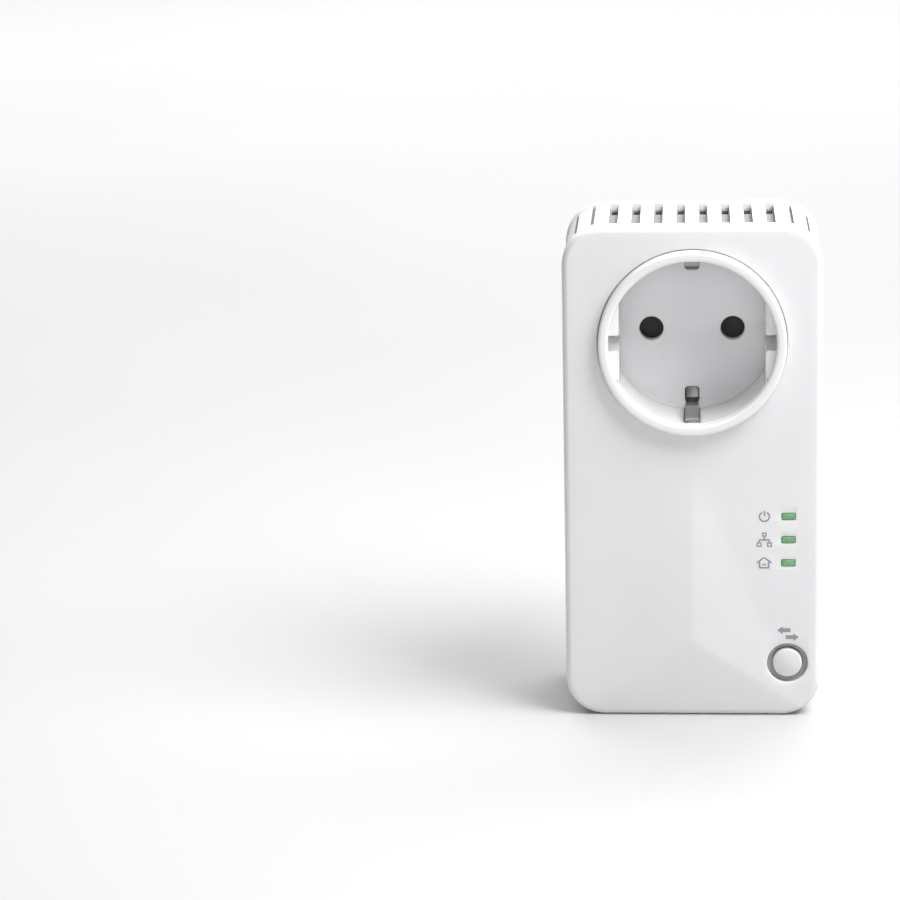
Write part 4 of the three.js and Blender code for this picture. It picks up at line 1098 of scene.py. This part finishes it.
def pair_button():
    """A domed cap with a soft shoulder, its flange and its stem."""
    build = Build()
    rear = button_high.y
    flange_y = FACE_Y + WALL + GAP
    dome, edge = 0.42, 0.55
    top = [(r, button_low.y + dome * (r / (BUTTON_R - 0.5)) ** 2) for r in (0.3, 1.0, 1.7, 2.3, 2.75)]
    shoulder = [(BUTTON_R - edge + edge * math.sin(a), button_low.y + dome + edge * (1 - math.cos(a)))
                for a in (math.radians(d) for d in range(15, 91, 15))]
    profile = top + shoulder + [
        (BUTTON_R, flange_y), (BUTTON_R + 0.65, flange_y), (BUTTON_R + 0.8, flange_y + 0.15),
        (BUTTON_R + 0.8, flange_y + 0.65), (BUTTON_R + 0.65, flange_y + FLANGE), (1.5, flange_y + FLANGE),
        (1.5, rear - 0.2), (1.3, rear)]
    turned(build, profile, BUTTON_X, BUTTON_Z, MID_ROUND)
    piece = build.finish("button_cap", cap_white, body="button_body", sharp=45)
    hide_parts("pair_button")


def light_pipe(node):
    """A clear bar with a softly domed lit end, and the flange that holds it behind the face."""
    low, high = box_mm(node)
    build = Build()
    flange_y = FACE_Y + WALL + GAP
    loops = build.rings(
        lambda inset: rounded_rect(inset, *WINDOW_HALF, 0.3, middle_of(node), 4),
        ((0.45, low.y), (0.25, low.y + 0.03), (0.1, low.y + 0.12), (0, low.y + 0.3), (0, flange_y),
         (-0.5, flange_y), (-0.5, flange_y + FLANGE), (0, flange_y + FLANGE), (0, high.y)))
    build.cap([loops[0]])
    build.loft(loops)
    build.cap([loops[-1]])
    piece = build.finish(node + "_lens", green_lens, sharp=50)
    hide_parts(node)


def plug_pin(node):
    """A round pin with a domed tip, its collar and its rear tail."""
    low, high = box_mm(node)
    tip = [(PIN_R * math.sin(a), high.y - PIN_R * 0.75 * (1 - math.cos(a)))
           for a in (math.radians(d) for d in (8, 20, 35, 50, 65, 78, 90))]
    collar_y = rear_high.y - END_WALL - GAP
    collar, tail = 3.6, 1.6
    rear = [(PIN_R, collar_y), (collar - 0.2, collar_y), (collar, collar_y - 0.2), (collar, collar_y - 1.3),
            (collar - 0.2, collar_y - 1.5), (tail, collar_y - 1.5), (tail, low.y + 0.2), (tail - 0.2, low.y)]
    build = Build()
    turned(build, tip + rear, middle_of(node)[0], 0, SMALL_ROUND)
    piece = build.finish(node + "_turned", nickel, sharp=40)
    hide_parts(node)


def housing_screw(node):
    """A pan head with a cross recess, over its shank."""
    low, high = box_mm(node)
    x, z = middle_of(node)
    radius = (high.x - low.x) / 2
    arm, half, deep = 1.45, 0.36, 0.75
    top = high.y
    build = Build()
    cross = [(px * c - pz * s, px * s + pz * c) for c, s in ((1, 0), (0, 1), (-1, 0), (0, -1))
             for px, pz in ((arm, -half), (arm, half), (half, half))]
    recess = build.rings(lambda size: [(x + px * size, z + pz * size) for px, pz in cross],
                         ((1.06, top), (0.8, top - deep)))
    shank = 1.2
    loops = build.rings(
        lambda r: circle(r, x, z, 40),
        ((radius - 0.75, top), (radius - 0.4, top - 0.08), (radius - 0.15, top - 0.3), (radius, top - 0.65),
         (radius, top - 1.3), (shank, top - 1.3), (shank, low.y + 0.8), (0.35, low.y)))
    build.cap([loops[0], recess[0]])
    build.loft(recess)
    build.cap([recess[-1]])
    build.loft(loops)
    build.fan(loops[-1])
    piece = build.finish(node + "_head", spring_steel, sharp=40)
    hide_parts(node)


def refined(node, body, look, slot):
    """The CAD node's own shape with its facets joined and its edges softened."""
    piece = from_cad(node).finish(node + "_refined", look, body, merge=0.01, sharp=30, bevel=0.12, clean=True)
    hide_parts(node)


def shutter_spring():
    """The return spring below the shutter, in the CAD shape, on a mesh of its own."""
    low, high = box_mm("shutter_spring")
    piece = from_cad("shutter_spring").finish("shutter_spring_coil", spring_steel, merge=0.01, sharp=50)
    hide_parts("shutter_spring")
    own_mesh(piece)


# ---- Stage, lights and camera ----

CAMERA_PLACE = (-1.607, -767.23, 167.096)
CAMERA_TURN = (74.9755, 1.2031, 4.0554)
FOCAL_LENGTH = 127.386
SENSOR = 36.0


def camera():
    data = bpy.data.cameras.new("photo_camera")
    data.lens = FOCAL_LENGTH
    data.sensor_width = SENSOR
    data.clip_end = 20.0
    holder = placed("photo_camera", data)
    holder.location = Vector(CAMERA_PLACE) * MM
    holder.rotation_euler = [math.radians(a) for a in CAMERA_TURN]
    bpy.context.scene.camera = holder


def area_light(name, place, target, size, power):
    data = bpy.data.lights.new(name, "AREA")
    data.shape = "RECTANGLE"
    data.size, data.size_y = size
    data.energy = power
    holder = placed(name, data)
    holder.location = place
    aim = Vector(target) - Vector(place)
    holder.rotation_euler = aim.to_track_quat("-Z", "Y").to_euler()


def stage():
    """A pale floor that curves up into a back wall."""
    bm = bmesh.new()
    floor_z = BOTTOM * MM
    near, depth, height, bend, width = -2.4, 3.2, 3.0, 1.2, 4.0
    profile = [(near, 0.0), (depth - bend, 0.0)]
    profile += [(depth - bend + bend * math.sin(a), bend - bend * math.cos(a))
                for a in (math.radians(6 * k) for k in range(1, 16))]
    profile.append((depth, height))
    rows = [[bm.verts.new((side * width, y, floor_z + z)) for side in (-1, 1)] for y, z in profile]
    for first, second in zip(rows, rows[1:]):
        bm.faces.new((first[0], first[1], second[1], second[0]))
    mesh = bpy.data.meshes.new("studio_sweep")
    bm.to_mesh(mesh)
    bm.free()
    sweep = placed("studio_sweep", mesh)
    mesh.shade_smooth()
    look = Look("studio_paper")
    look.base(look.mix(look.spread(look.noise(300, 2), 0, 1), (0.50, 0.50, 0.503), (0.52, 0.52, 0.523)))
    look.set(Roughness=0.9)
    mesh.materials.append(look.material)


def studio_light():
    world = bpy.data.worlds.new("studio_world")
    bpy.context.scene.world = world
    world.use_nodes = True
    fill(world.node_tree.nodes["Background"], Color=(1.0, 1.0, 1.0, 1), Strength=0.20)
    area_light("overhead_softbox", (0.22, -0.15, 0.36), (0.0, -0.05, 0.0), (0.30, 0.30), 3.7)
    area_light("front_fill", (0.05, -0.9, 0.30), (0.0, -0.05, 0.02), (0.5, 0.3), 1.2)
    area_light("backdrop_wash", (0.0, 1.15, 1.3), (0.0, 1.15, 0.0), (2.8, 1.3), 58.0)
    bpy.context.scene.view_settings.view_transform = "Standard"


# ---- Assembly ----

# CAD nodes that take softened edges: (node, body, look, slot)
REFINED = [
    ("earth_clip_upper", "upper_clip_body", clip_metal, "nickel"),
    ("earth_clip_lower", "lower_clip_body", clip_metal, "nickel"),
    ("earth_bracket", HOUSING, clip_metal, "nickel"),
    ("plug_earth_upper", HOUSING, clip_metal, "nickel"),
    ("plug_earth_lower", HOUSING, clip_metal, "nickel"),
    ("socket_shutter", "shutter_body", dark_plastic, "dark_plastic"),
]


def repaint_frame():
    """Every CAD node that stays gets its slot's finish."""
    for part in frame["record"]["subparts"]:
        node = frame["nodes"][part["node"]]
        node.data.materials.clear()
        node.data.materials.append(SLOT_LOOKS[part["material_slot"]])


def build_all():
    for make in (camera, stage, studio_light, repaint_frame, front_cover, well_ring, pictograms, vent_frame,
                 port_panel, network_jack, jack_contacts, rear_cover, socket_insert, socket_floor, pair_button):
        make()
    for node in LIGHTS:
        light_pipe(node)
    for node in ("live_pin", "neutral_pin"):
        plug_pin(node)
    for node in SCREWS:
        housing_screw(node)
    shutter_spring()
    for node, body, look, slot in REFINED:
        refined(node, body, look, slot)


build_all()
